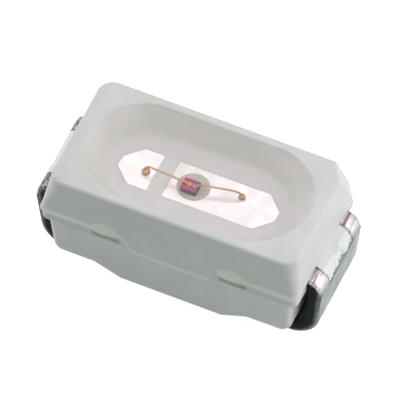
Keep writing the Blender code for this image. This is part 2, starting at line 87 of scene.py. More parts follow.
def node(tree, kind, values=None, **settings):
    """A new shader node with its settings, and its inputs set or linked."""
    made = tree.nodes.new(kind)
    for name, value in settings.items():
        setattr(made, name, value)
    for name, value in (values or {}).items():
        if isinstance(value, bpy.types.NodeSocket):
            tree.links.new(value, made.inputs[name])
        else:
            made.inputs[name].default_value = value
    return made


def ramp(tree, factor, stops, smooth=False):
    """A colour ramp through (place, grey or colour) stops."""
    made = node(tree, "ShaderNodeValToRGB", {"Fac": factor})
    band = made.color_ramp
    band.interpolation = "EASE" if smooth else "LINEAR"
    while len(band.elements) < len(stops):
        band.elements.new(0.5)
    for element, (place, tone) in zip(band.elements, stops):
        element.position = place
        element.color = (*tone, 1) if isinstance(tone, tuple) else (tone, tone, tone, 1)
    return made.outputs["Color"]


def blend_colours(tree, factor, first, second, way="MIX"):
    """The Mix node's colour: first where the factor is 0, second where it is 1."""
    made = tree.nodes.new("ShaderNodeMix")
    made.data_type = "RGBA"
    made.blend_type = way
    for place, value in ((0, factor), (6, first), (7, second)):
        if isinstance(value, bpy.types.NodeSocket):
            tree.links.new(value, made.inputs[place])
        elif isinstance(value, tuple):
            made.inputs[place].default_value = (*value, 1)
        else:
            made.inputs[place].default_value = value
    return made.outputs[2]


def overlap(tree, first, second):
    """What two masks have in common."""
    return blend_colours(tree, 1.0, first, second, "MULTIPLY")


def maths(tree, way, *values):
    """What a Math node makes of the values."""
    return node(tree, "ShaderNodeMath", dict(enumerate(values)), operation=way).outputs[0]


def stored(tree, name):
    """A value that is stored on the piece's points."""
    return node(tree, "ShaderNodeAttribute", attribute_name=name).outputs["Fac"]


def dimmed(colour, share):
    return tuple(share * c for c in colour)


def new_material(name):
    """A material, its node tree, its Principled shader and the piece's own coordinates."""
    material = bpy.data.materials.new(name)
    material.use_nodes = True
    tree = material.node_tree
    where = tree.nodes.new("ShaderNodeTexCoord").outputs["Object"]
    return material, tree, tree.nodes["Principled BSDF"], where


def grain_group():
    """Fine relief and slow mottling in one, for moulded, plated and sheared faces."""
    group = bpy.data.node_groups.new("surface_grain", "ShaderNodeTree")
    sockets = (("Vector", "INPUT", "Vector"), ("Grain Scale", "INPUT", "Float"))
    sockets += (("Mottle Scale", "INPUT", "Float"), ("Height", "OUTPUT", "Float"))
    sockets += (("Mottle", "OUTPUT", "Float"),)
    for name, way, kind in sockets:
        group.interface.new_socket(name=name, in_out=way, socket_type=f"NodeSocket{kind}")
    inside = group.nodes.new("NodeGroupInput").outputs
    result = group.nodes.new("NodeGroupOutput")
    fine = node(
        group,
        "ShaderNodeTexNoise",
        {"Vector": inside["Vector"], "Scale": inside["Grain Scale"], "Detail": 3.0},
    )
    slow = node(
        group,
        "ShaderNodeTexNoise",
        {"Vector": inside["Vector"], "Scale": inside["Mottle Scale"], "Detail": 2.0},
    )
    group.links.new(fine.outputs["Fac"], result.inputs["Height"])
    group.links.new(slow.outputs["Fac"], result.inputs["Mottle"])
    return group


GRAIN = grain_group()


def add_grain(tree, where, grain_scale, mottle_scale):
    """Height and mottling from the shared group. Scales count in grains to the metre."""
    made = tree.nodes.new("ShaderNodeGroup")
    made.node_tree = GRAIN
    tree.links.new(where, made.inputs["Vector"])
    made.inputs["Grain Scale"].default_value = grain_scale
    made.inputs["Mottle Scale"].default_value = mottle_scale
    return made.outputs["Height"], made.outputs["Mottle"]


def relief(tree, height, distance, strength=1.0, under=None):
    """A normal from a height, over another normal if one is given."""
    values = {"Height": height, "Distance": distance, "Strength": strength}
    if under:
        values["Normal"] = under
    return node(tree, "ShaderNodeBump", values).outputs["Normal"]


def plating_material():
    """Silver: bright on the pads, crazed across the fold, scuffed where worn, with painted shade down
    the plate and on its inner face.
    """
    material, tree, shader, where = new_material("silver_plating")
    height, mottle = add_grain(tree, where, 90000, 9000)
    through, fold, plate, worn = (stored(tree, name) for name in MARKS)
    drawn_out = node(tree, "ShaderNodeMapping", {"Vector": where, "Scale": CRAZING_SCALE})
    pattern = {"Vector": drawn_out.outputs["Vector"], "Scale": 1.0, "Detail": 4.0}
    lines = node(tree, "ShaderNodeTexNoise", pattern)
    crazing = ramp(tree, lines.outputs["Fac"], ((0.47, 0.0), (0.58, 1.0)))
    at_fold = overlap(tree, crazing, fold)
    tone = blend_colours(tree, mottle, PLATING, dimmed(PLATING, 0.94))
    # Painted shade: the plate below the fold is darkened.
    tone = blend_colours(tree, plate, tone, PLATE_PAINTED_SHADE)
    tone = blend_colours(tree, fold, tone, FOLDED)
    tone = blend_colours(tree, at_fold, tone, COPPER_BLUSH)
    # Painted shade: the plate's inner face, in the narrow gap by the housing, is made near black.
    inner = ramp(tree, through, ((0.80, 0.0), (0.92, 1.0)))
    tone = blend_colours(tree, overlap(tree, inner, plate), tone, INNER_PAINTED_SHADE)
    specks = node(tree, "ShaderNodeTexNoise", {"Vector": where, "Scale": 26000.0, "Detail": 3.0})
    scuffs = ramp(tree, specks.outputs["Fac"], ((0.44, 1.0), (0.60, 0.0)))
    tone = blend_colours(tree, worn, tone, WORN)
    tone = blend_colours(tree, overlap(tree, scuffs, worn), tone, SCUFFED)
    tree.links.new(tone, shader.inputs["Base Color"])
    rough = ramp(tree, mottle, ((0.3, 0.26), (0.7, 0.38)))
    tree.links.new(rough, shader.inputs["Roughness"])
    shader.inputs["Metallic"].default_value = 1.0
    fine = relief(tree, height, 0.00015 * MM)
    folded = relief(tree, at_fold, 0.003 * MM, under=fine)
    tree.links.new(folded, shader.inputs["Normal"])
    return material


def sheared_material():
    """The cut sides: burnished next to the rolled edge, torn below it, where painted shade makes them
    near black.
    """
    material, tree, shader, where = new_material("sheared_edge")
    height, mottle = add_grain(tree, where, 60000, 16000)
    wander = maths(tree, "MULTIPLY_ADD", mottle, 0.22, -0.11)
    level = maths(tree, "ADD", stored(tree, "through"), wander)
    tone = ramp(tree, level, ((0.22, SHEARED_BRIGHT), (0.42, TORN_PAINTED_SHADE)))
    tree.links.new(tone, shader.inputs["Base Color"])
    tree.links.new(ramp(tree, level, ((0.2, 0.3), (0.45, 0.6))), shader.inputs["Roughness"])
    shader.inputs["Metallic"].default_value = 0.5
    shader.inputs["Specular IOR Level"].default_value = 0.08
    tree.links.new(relief(tree, height, 0.002 * MM), shader.inputs["Normal"])
    return material


def folded_path(pad_edge, reach, top):
    """The strip's outer face seen from the side, as (x, z, outward x, outward z)."""
    top_x = reach - TOP_BEND
    top_z = top - TOP_BEND
    lean = (FOOT_BEND - top_z) * sin(PLATE_LEAN) + TOP_BEND - FOOT_BEND
    foot_x = top_x + lean / cos(PLATE_LEAN)
    path = [(x, top, 0, 1) for x in (pad_edge, reach - PRONG_LENGTH)]
    for i in range(BEND_STEPS + 1):
        turn = pi / 2 - (pi / 2 + PLATE_LEAN) * i / BEND_STEPS
        way = (cos(turn), sin(turn))
        path.append((top_x + TOP_BEND * way[0], top_z + TOP_BEND * way[1], *way))
    window_z = top - PRONG_WINDOW_HEIGHT
    plate_x, plate_z, out_x, out_z = path[-1]
    path.append((plate_x - (plate_z - window_z) * tan(PLATE_LEAN), window_z, out_x, out_z))
    for i in range(BEND_STEPS + 1):
        turn = -PLATE_LEAN - (pi / 2 - PLATE_LEAN) * i / BEND_STEPS
        way = (cos(turn), sin(turn))
        path.append((foot_x + FOOT_BEND * way[0], FOOT_BEND * (1 + way[1]), *way))
    path.append((reach - FOOT_LENGTH, 0, 0, -1))
    return path


def strip_mesh(path, half_width):
    """Outer, inner and side faces along the path, open between the prongs."""
    maker = bmesh.new()
    columns = (-half_width, PRONG_WIDTH - half_width, half_width - PRONG_WIDTH, half_width)
    outer, inner = [], []
    for x, z, out_x, out_z in path:
        outer.append([maker.verts.new((x, y, z)) for y in columns])
        x -= out_x * STRIP_THICKNESS
        z -= out_z * STRIP_THICKNESS
        inner.append([maker.verts.new((x, y, z)) for y in columns])
    window = range(1, BEND_STEPS + 3)  # from the pad, round the bend, to where the plate starts
    solid = {(i, j) for i in range(len(path) - 1) for j in range(3)}
    solid -= {(i, 1) for i in window}
    for i, j in sorted(solid):
        maker.faces.new((outer[i][j], outer[i][j + 1], outer[i + 1][j + 1], outer[i + 1][j]))
        maker.faces.new((inner[i][j], inner[i + 1][j], inner[i + 1][j + 1], inner[i][j + 1]))
        rims = (
            ((i - 1, j), (i, j), (i, j + 1)),
            ((i + 1, j), (i + 1, j + 1), (i + 1, j)),
            ((i, j - 1), (i + 1, j), (i, j)),
            ((i, j + 1), (i, j + 1), (i + 1, j + 1)),
        )
        for beyond, (a, b), (c, d) in rims:
            if beyond not in solid:
                wall = maker.faces.new((outer[a][b], inner[a][b], inner[c][d], outer[c][d]))
                wall.material_index = SHEARED_FACE
    edges_to_round = ((outer, ROLLED_EDGE, PLATED_FACE), (inner, BURRED_EDGE, SHEARED_FACE))
    for rows, radius, kind in edges_to_round:
        rim = {v for row in rows for v in row if v.is_valid}
        edges = [
            e
            for e in maker.edges
            if len({f.material_index for f in e.link_faces}) == 2 and set(e.verts) <= rim
        ]
        bmesh.ops.bevel(
            maker, geom=edges, offset=radius, segments=3, profile=0.5, affect="EDGES", material=kind
        )
    loose = [v for v in maker.verts if not v.link_faces]
    bmesh.ops.delete(maker, geom=loose, context="VERTS")
    return maker


def clamp(value):
    """The value, held between 0 and 1."""
    return max(0, min(1, value))


def mark_strip(mesh, path, side):
    """Stores how far each point lies through the strip, at the fold and down the plate.

    The anode's plate is worn too. Heights below the top count in bend radii.
    """
    for name in MARKS:
        mesh.attributes.new(name, "FLOAT", "POINT")
    through, fold, plate, worn = (mesh.attributes[name].data for name in MARKS)
    top = path[0][1]
    bend_start = path[2][0]
    for i, vertex in enumerate(mesh.vertices):
        x, z = side * vertex.co.x, vertex.co.z
        depths = []
        for (ax, az, *_), (bx, bz, *_) in zip(path, path[1:]):
            run = hypot(bx - ax, bz - az)
            share = ((x - ax) * (bx - ax) + (z - az) * (bz - az)) / run**2
            share = clamp(share)
            depths.append(hypot(x - ax - share * (bx - ax), z - az - share * (bz - az)))
        through[i].value = min(depths) / STRIP_THICKNESS
        down = (top - z) / TOP_BEND if x > bend_start - TOP_BEND else 0
        fold[i].value = clamp((x - bend_start) / TOP_BEND + 1) * max(0, 1 - down)
        plate[i].value = clamp(2 * (down - PLATE_SHADE_START))
        worn[i].value = clamp(2.5 - abs(2.2 * down - 0.9)) if side < 0 < down else 0


def lead_span(name, side):
    """How far from the middle a lead starts and ends, and half its width."""
    low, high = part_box(name)
    pad_edge, reach = (low.x, high.x) if side > 0 else (-high.x, -low.x)
    return pad_edge, reach, high.y


def mesh_from(maker, name):
    """The maker's shape as a mesh."""
    mesh = bpy.data.meshes.new(name)
    maker.to_mesh(mesh)
    maker.free()
    return mesh


def shade(mesh, degrees):
    """Smooth faces, and sharp edges where they meet at more than the angle."""
    mesh.shade_smooth()
    mesh.set_sharp_from_angle(angle=radians(degrees))


def add_piece(name, mesh, slot, *nodes):
    """A shown piece on the one body, in place of the solids named."""
    piece = bpy.data.objects.new(name, mesh)
    bpy.context.scene.collection.objects.link(piece)
    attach(piece, "root")
    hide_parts(*nodes)
    return piece


def add_lead(name, side):
    """One lead of the strip, in place of its solid."""
    pad_edge, reach, half_width = lead_span(name, side)
    path = folded_path(pad_edge, reach, FRAME_TOP)
    maker = strip_mesh(path, half_width)
    if side < 0:
        bmesh.ops.scale(maker, vec=(-1, 1, 1), verts=maker.verts)
    bmesh.ops.recalc_face_normals(maker, faces=maker.faces)
    mesh = mesh_from(maker, f"{name}_strip")
    mark_strip(mesh, path, side)
    shade(mesh, 40)
    mesh.materials.append(SILVER)
    mesh.materials.append(SHEARED)
    add_piece(f"{name}_strip", mesh, "silver_plating", name)


SILVER = plating_material()
SHEARED = sheared_material()
FRAME_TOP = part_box("anode_lead")[1].z  # the top of the strip, where the pads are
FRAME_BOTTOM = FRAME_TOP - STRIP_THICKNESS
add_lead("anode_lead", -1)
add_lead("cathode_lead", 1)

# Housing
# White reflector housing, injection moulded round the strip in a filled plastic that lets
# a little light in. Its faces have the mould's fine spark-eroded grain, and its edges
# are rounded.

MOULDING = (0.815, 0.812, 0.798)
MOULDING_DEEP = (0.755, 0.777, 0.75)
PAINTED_HIGHLIGHT = (0.95, 0.955, 0.95)  # painted highlight on the lips, the lids and the rim of the flash
PAINTED_HIGHLIGHT_DEEP = (0.90, 0.91, 0.90)
# Painted shade: the deep faces of the pockets under the lids are darker and warmer.
POCKET_PAINTED_SHADE = (0.73, 0.695, 0.65)
POCKET_PAINTED_SHADE_DEEP = (0.67, 0.64, 0.60)
FLOOR_PAINTED_SHADE = (0.755, 0.75, 0.737)  # painted shade on the cavity floor and the window's edges
FLOOR_PAINTED_SHADE_DEEP = (0.73, 0.73, 0.717)
PLAIN, HIGHLIT, SHADED_POCKET, SHADED_FLOOR = range(4)  # the places of the housing's four materials


def moulding_material(name, colour, deep_colour):
    """Satin white plastic, a little translucent, with a fine grain and faint mottling."""
    material, tree, shader, where = new_material(name)
    height, mottle = add_grain(tree, where, 45000, 3000)
    slow = ramp(tree, mottle, ((0.35, 0.0), (0.65, 1.0)))
    tone = blend_colours(tree, slow, colour, deep_colour)
    tree.links.new(tone, shader.inputs["Base Color"])
    rough = ramp(tree, height, ((0.3, 0.42), (0.7, 0.56)))
    tree.links.new(rough, shader.inputs["Roughness"])
    shader.inputs["Subsurface Weight"].default_value = 0.25
    shader.inputs["Subsurface Radius"].default_value = (1.0, 1.0, 0.9)
    shader.inputs["Subsurface Scale"].default_value = 0.02 * MM
    tree.links.new(relief(tree, height, 0.0012 * MM), shader.inputs["Normal"])
    return material


# Steps in the round stretches, and how the solids meet
CORNER_STEPS = 16
EDGE_STEPS = 6
STADIUM_STEPS = 48
LAP = 0.02 * MM  # how far one solid runs into the next
FLUSH = 0.0006 * MM  # keeps faces that continue each other from lying in one plane

# Upper half, from the ridge at the strip's top up to the rim
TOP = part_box("housing")[1].z
TOP_HALF_LENGTH = 1.375 * MM
TOP_HALF_WIDTH = 0.710 * MM
UPPER_DRAFT = radians(8.3)
TOP_CORNER = 0.17 * MM
RIDGE_CORNER = 0.08 * MM
TOP_EDGE = 0.034 * MM
RIDGE_HALF_LENGTH = TOP_HALF_LENGTH + (TOP - FRAME_TOP) * tan(UPPER_DRAFT)
RIDGE_HALF_WIDTH = TOP_HALF_WIDTH + (TOP - FRAME_TOP) * tan(UPPER_DRAFT)

# Cut corner
CUT_ALONG_END = 0.26 * MM
CUT_ALONG_SIDE = 0.16 * MM
CUT_TURN_DEPTH = 0.318 * MM  # below it the cut is steeper
CUT_TURN_X = 1.334 * MM
CUT_TURN_Y = 0.756 * MM
CUT_END_DEPTH = 0.606 * MM
CUT_END_X = 1.384 * MM
CUT_END_Y = 0.7645 * MM
CUT_EDGE = 0.045 * MM
CUT_EDGE_STEPS = 6

# Parting lips, the band round the strip's edge and the skirt between the pockets
LIP_RADIUS = 0.007 * MM  # of the rounded lip along each parting edge
LIP_REACH = 0.027 * MM
LIP_AT_END = 0.15  # of the lip's reach, along the two short sides
LIP_HIGHLIGHT_REACH = 0.010 * MM  # the painted highlight goes where the plastic stands out more than this
FLARE_HEIGHT = 0.12 * MM  # over which the wall runs out into its lip
FLARE_STEPS = 8
FLARE_SPACING = 1.6  # more than 1 sets the steps closer near the lip
FLARE_CURVE = 5
BAND_INSET = 0.012 * MM
BAND_LIP = 0.011 * MM
SKIRT_LIP_REACH = 0.0195 * MM
SKIRT_HALF_LENGTH = 0.62 * MM
SKIRT_OVERLAP = 0.01 * MM
SKIRT_RAMP_START = 0.53 * MM
SKIRT_RAMP_END = 0.35 * MM
SKIRT_RAMP_STEPS = 12

# Lower block and its central foot
LOWER_END_STEP = 0.075 * MM
LOWER_SIDE_STEP = 0.018 * MM
LOWER_DRAFT = radians(4.5)
LOWER_CORNER = 0.085 * MM
LOWER_END_EDGE = 0.09 * MM
LOWER_SIDE_EDGE = 0.035 * MM
UNDERSIDE = 0.254 * MM
FOOT_HALF_LENGTH = 0.55 * MM
FOOT_RAMP = 0.22 * MM
FOOT_EDGE = 0.016 * MM

# Lids and the pockets under them
TIE_BAR_PLACE = 0.71 * MM
LID_HALF_WIDTH = 0.155 * MM
LID_HEIGHT = 0.092 * MM
LID_REACH = 0.0415 * MM
LID_ROOT = 0.03 * MM
LID_STEPS = 32
LID_END_SIZE = 0.03  # of its full height and reach, where it runs out into the wall
POCKET_HALF_WIDTH = 0.145 * MM
POCKET_DEPTH = 0.030 * MM
POCKET_EDGE = 0.022 * MM

# Flash between the prongs
WEB_REACH = 0.145 * MM
WEB_STEPS = 40
WEB_RAGGED = 0.036 * MM
WEB_FULL = 0.022 * MM  # how much fuller the flash is at the anode end
WEB_COARSE = 0.11 * MM  # length of the flash's larger waves
WEB_FINE = 0.035 * MM
WEB_LIMIT = 1.599 * MM  # just inside the solids' box

# Reflector cavity, the window in its floor and the slots for the leads
CAVITY_HALF_LENGTH = 1.230 * MM
CAVITY_HALF_WIDTH = 0.606 * MM
CAVITY_END_DRAFT = radians(30.8)
CAVITY_SIDE_DRAFT = radians(17.3)
RIM_EDGE = 0.020 * MM
FLOOR_COVER = 0.02 * MM  # moulding over the pads
FLOOR_FILLET = 0.07 * MM
FILLET_SPREAD = 0.6  # the fillet's width, as a share of its height
WINDOW_HALF_LENGTH = 0.880 * MM
WINDOW_HALF_WIDTH = 0.245 * MM
WINDOW_CHAMFER = 0.18 * MM
WINDOW_FLARE = 4.5 * FLOOR_COVER  # how much it widens up through the floor
SLOT_GAP = 0.002 * MM
SLOT_OVERRUN = 0.034 * MM


def arc(centre_x, centre_y, radius, start, sweep, steps):
    """Points on an arc in a plane, both ends included."""
    turns = [start + sweep * i / steps for i in range(steps + 1)]
    return [(centre_x + radius * cos(a), centre_y + radius * sin(a)) for a in turns]


def rounded_rectangle(half_x, half_y, radius, z):
    """A level ring with round corners."""
    corners = (
        (half_x - radius, half_y - radius, 0),
        (radius - half_x, half_y - radius, pi / 2),
        (radius - half_x, radius - half_y, pi),
        (half_x - radius, radius - half_y, 3 * pi / 2),
    )
    ring = []
    for x, y, start in corners:
        ring += arc(x, y, radius, start, pi / 2, CORNER_STEPS)
    return [(x, y, z) for x, y in ring]


def stadium(half_x, half_y, z):
    """A level ring whose ends are half circles."""
    reach = half_x - half_y
    ring = arc(reach, 0, half_y, -pi / 2, pi, STADIUM_STEPS)
    ring += arc(-reach, 0, half_y, pi / 2, pi, STADIUM_STEPS)
    return [(x, y, z) for x, y in ring]


def loft(rings):
    """A closed solid through rings of equally many points, flat at both ends."""
    maker = bmesh.new()
    loops = [[maker.verts.new(point) for point in ring] for ring in rings]
    count = len(loops[0])
    for lower, upper in zip(loops, loops[1:]):
        for i in range(count):
            j = (i + 1) % count
            maker.faces.new((lower[i], lower[j], upper[j], upper[i]))
    maker.faces.new(list(reversed(loops[0])))
    maker.faces.new(loops[-1])
    bmesh.ops.recalc_face_normals(maker, faces=maker.faces)
    return maker


def box_solid(low, high, edge=0):
    """A box, with its edges rounded if a radius is given."""
    base = [(low[0], low[1]), (high[0], low[1]), (high[0], high[1]), (low[0], high[1])]
    maker = loft([[(x, y, z) for x, y in base] for z in (low[2], high[2])])
    if edge:
        edges = maker.edges[:]
        bmesh.ops.bevel(maker, geom=edges, offset=edge, segments=3, profile=0.5, affect="EDGES")
    return maker


def lip(reach, level):
    """The nose of a lip and its flare, as (height, how far past the drafted wall)."""
    nose = arc(reach - LIP_RADIUS, level, LIP_RADIUS, -pi / 2, 3 * pi / 4, EDGE_STEPS)
    last_out, last_z = nose[-1]
    profile = [(z, out) for out, z in nose]
    for i in range(1, FLARE_STEPS + 1):
        share = (i / FLARE_STEPS) ** FLARE_SPACING
        profile.append((last_z + share * FLARE_HEIGHT, last_out * (1 - share) ** FLARE_CURVE))
    return profile


def wall_spread(z):
    """How far the drafted wall lies past the ridge at this height."""
    return (FRAME_TOP - z) * tan(UPPER_DRAFT)


def mark_highlight(maker, inset):
    """Gives the painted highlight to faces that stand out past the two long walls."""
    for face in maker.faces:
        middle = face.calc_center_median()
        out = abs(middle.y) - RIDGE_HALF_WIDTH - wall_spread(max(middle.z, FRAME_TOP)) + inset
        face.material_index = HIGHLIT if out > LIP_HIGHLIGHT_REACH else PLAIN


def upper_solid():
    """Drafted walls up to a rounded top edge, and the cut corner with its own soft edges."""
    profile = [(FRAME_TOP, 0)]
    for i in range(EDGE_STEPS + 1):
        turn = pi / 2 * i / EDGE_STEPS
        z = TOP - TOP_EDGE * (1 - sin(turn))
        profile.append((z, wall_spread(z) - TOP_EDGE * (1 - cos(turn))))
    rings = []
    for z, spread in profile:
        share = (z - FRAME_TOP) / (TOP - FRAME_TOP)
        radius = RIDGE_CORNER + (TOP_CORNER - RIDGE_CORNER) * share
        rings.append(
            rounded_rectangle(RIDGE_HALF_LENGTH + spread, RIDGE_HALF_WIDTH + spread, radius, z)
        )
    maker = loft(rings)
    facet = trim_corner(maker)
    side = Vector((TOP_HALF_LENGTH - CUT_ALONG_SIDE, TOP_HALF_WIDTH, TOP))
    end = Vector((TOP_HALF_LENGTH, TOP_HALF_WIDTH - CUT_ALONG_END, TOP))
    up = Vector((0, 0, 1))
    side_wall = up * sin(UPPER_DRAFT) + Vector((0, cos(UPPER_DRAFT), 0))
    end_wall = up * sin(UPPER_DRAFT) + Vector((cos(UPPER_DRAFT), 0, 0))
    for place, wall in ((side, up), (side, side_wall), (end, end_wall)):
        round_off(maker, place, wall, facet)
    return maker


def slice_off(maker, place, outward):
    """Removes what lies past the plane, and closes the cut."""
    cut = bmesh.ops.bisect_plane(
        maker,
        geom=maker.verts[:] + maker.edges[:] + maker.faces[:],
        dist=1e-9,
        plane_co=place,
        plane_no=outward,
        clear_outer=True,
    )
    rim = [item for item in cut["geom_cut"] if isinstance(item, bmesh.types.BMEdge)]
    if rim:
        bmesh.ops.contextual_create(maker, geom=rim)
        bmesh.ops.recalc_face_normals(maker, faces=maker.faces)


def ridge_lip_solid(side):
    """The lip and flare round one end of the ridge, as far as the skirt."""
    rings = []
    for z, out in lip(LIP_REACH, FRAME_TOP):
        spread = wall_spread(z) - FLUSH
        share = max(0, z - FRAME_TOP) / (TOP - FRAME_TOP)
        radius = RIDGE_CORNER + (TOP_CORNER - RIDGE_CORNER) * share
        half_x = RIDGE_HALF_LENGTH + spread + LIP_AT_END * out
        rings.append(rounded_rectangle(half_x, RIDGE_HALF_WIDTH + spread + out, radius, z))
    maker = loft(rings)
    end = SKIRT_RAMP_START if side < 0 else SKIRT_HALF_LENGTH
    mark_highlight(maker, 0)
    slice_off(maker, Vector((side * end, 0, 0)), Vector((-side, 0, 0)))
    trim_corner(maker)
    return maker


def trim_corner(maker):
    """The polarity cut across the corner at +X +Y: a slanted plane over a steeper one.

    Gives back which way the upper plane faces.
    """
    x, y = TOP_HALF_LENGTH, TOP_HALF_WIDTH
    along = Vector((CUT_ALONG_SIDE, -CUT_ALONG_END, 0))
    start = Vector((x - CUT_ALONG_SIDE, y, TOP))
    turn = Vector((CUT_TURN_X, CUT_TURN_Y, TOP - CUT_TURN_DEPTH))
    end = Vector((CUT_END_X, CUT_END_Y, TOP - CUT_END_DEPTH))
    facets = []
    for a, b in ((start, turn), (turn, end)):
        normal = along.cross(b - a).normalized()
        facets.append(normal if normal.x > 0 else -normal)
        slice_off(maker, a, facets[-1])
    return facets[0]


def round_off(maker, place, first, second):
    """Rounds the edge where two planes meet at the place, by planes that turn between them."""
    middle = place - CUT_EDGE * (first + second) / (1 + first.dot(second))
    for i in range(1, CUT_EDGE_STEPS):
        normal = first.lerp(second, i / CUT_EDGE_STEPS).normalized()
        slice_off(maker, middle + CUT_EDGE * normal, normal)


def skirt_solid():
    """The wall between the pockets. Its lip leaves the ridge by a ramp and runs below it."""
    places = [(-SKIRT_RAMP_START - SKIRT_OVERLAP, 0)]
    for i in range(SKIRT_RAMP_STEPS + 1):
        share = i / SKIRT_RAMP_STEPS
        x = -SKIRT_RAMP_START + share * (SKIRT_RAMP_START - SKIRT_RAMP_END)
        places.append((x, 3 * share**2 - 2 * share**3))
    places.append((SKIRT_HALF_LENGTH + SKIRT_OVERLAP, 1))
    top = FRAME_TOP + FLARE_HEIGHT + LAP
    rings = []
    for x, share in places:
        level = FRAME_TOP + share * (FRAME_BOTTOM + LIP_RADIUS - FRAME_TOP)
        outline = [(RIDGE_HALF_WIDTH - LOWER_SIDE_STEP, level - LIP_RADIUS)]
        for z, out in lip(LIP_REACH + share * (SKIRT_LIP_REACH - LIP_REACH), level):
            outline.append((RIDGE_HALF_WIDTH + wall_spread(z) + out - 2 * FLUSH, z))
        outline.append((RIDGE_HALF_WIDTH + wall_spread(top) - 2 * FLUSH, top))
        outline += [(-y, z) for y, z in reversed(outline)]
        rings.append([(x, y, z) for y, z in outline])
    maker = loft(rings)
    for face in maker.faces:
        middle = face.calc_center_median()
        out = abs(middle.y) - RIDGE_HALF_WIDTH - wall_spread(middle.z)
        # Painted highlight: the lip's nose takes the whiter moulding.
        face.material_index = HIGHLIT if out > LIP_HIGHLIGHT_REACH and abs(face.normal.x) < 0.9 else PLAIN
    return maker


def band_solid():
    """The wall round the strip's edge, set in under the ridge, with a faint lip below."""
    half_x = RIDGE_HALF_LENGTH - BAND_INSET
    half_y = RIDGE_HALF_WIDTH - BAND_INSET
    rings = []
    for z, out in lip(BAND_LIP, FRAME_BOTTOM + LIP_RADIUS):
        rings.append(rounded_rectangle(half_x + LIP_AT_END * out, half_y + out, RIDGE_CORNER, z))
    rings.append(rounded_rectangle(half_x, half_y, RIDGE_CORNER, FRAME_TOP + LAP))
    maker = loft(rings)
    mark_highlight(maker, BAND_INSET)
    trim_corner(maker)
    return maker


def lower_solid():
    """The lower block, rounded along its bottom."""
    half_x = RIDGE_HALF_LENGTH - LOWER_END_STEP
    half_y = RIDGE_HALF_WIDTH - LOWER_SIDE_STEP
    rings = []
    for i in range(EDGE_STEPS + 1):
        turn = pi / 2 * i / EDGE_STEPS
        z = UNDERSIDE + LOWER_END_EDGE * (1 - cos(turn))
        taper = (FRAME_BOTTOM - z) * tan(LOWER_DRAFT)
        ring_x = half_x - taper - LOWER_END_EDGE * (1 - sin(turn))
        ring_y = half_y - taper - LOWER_SIDE_EDGE * (1 - sin(turn))
        radius = LOWER_CORNER - LOWER_SIDE_EDGE * (1 - sin(turn))
        rings.append(rounded_rectangle(ring_x, ring_y, radius, z))
    for z in (FRAME_BOTTOM, FRAME_BOTTOM + STRIP_THICKNESS / 2):
        rings.append(rounded_rectangle(half_x, half_y, LOWER_CORNER, z))
    return loft(rings)


def foot_solid():
    """The central foot under the lower block, with a ramp at each end."""
    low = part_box("housing")[0].z
    rings = []
    slope = FOOT_RAMP / (UNDERSIDE - low)
    for z in (low, UNDERSIDE + LOWER_END_EDGE):
        taper = (FRAME_BOTTOM - z) * tan(LOWER_DRAFT) + FLUSH
        half_x = FOOT_HALF_LENGTH + (z - low) * slope
        half_y = RIDGE_HALF_WIDTH - LOWER_SIDE_STEP - taper
        rings.append([(half_x * i, half_y * j, z) for i, j in ((1, 1), (-1, 1), (-1, -1), (1, -1))])
    maker = loft(rings)
    edges = [e for e in maker.edges if all(v.co.z < low + FLUSH for v in e.verts)]
    bmesh.ops.bevel(maker, geom=edges, offset=FOOT_EDGE, segments=3, profile=0.5, affect="EDGES")
    return maker


def lid_solid(x, side):
    """The small rounded lid over a tie-bar pocket: a roof that slopes out from the wall."""
    rings = []
    for i in range(LID_STEPS + 1):
        along = -cos(pi * i / LID_STEPS)
        size = max(LID_END_SIZE, (1 - along**2) ** 0.5)
        outline = [(RIDGE_HALF_WIDTH - LID_ROOT, FRAME_TOP - LIP_RADIUS)]
        outline.append((RIDGE_HALF_WIDTH + size * LID_REACH, FRAME_TOP - LIP_RADIUS))
        for j in range(EDGE_STEPS + 1):
            rise = j / EDGE_STEPS
            z = FRAME_TOP + rise * size * LID_HEIGHT
            wall = RIDGE_HALF_WIDTH + wall_spread(z)
            outline.append((wall + size * LID_REACH * (1 - rise) ** 0.8 - FLUSH * rise, z))
        outline.append((RIDGE_HALF_WIDTH - LID_ROOT, outline[-1][1]))
        rings.append([(x + along * LID_HALF_WIDTH, side * y, z) for y, z in outline])
    return loft(rings)


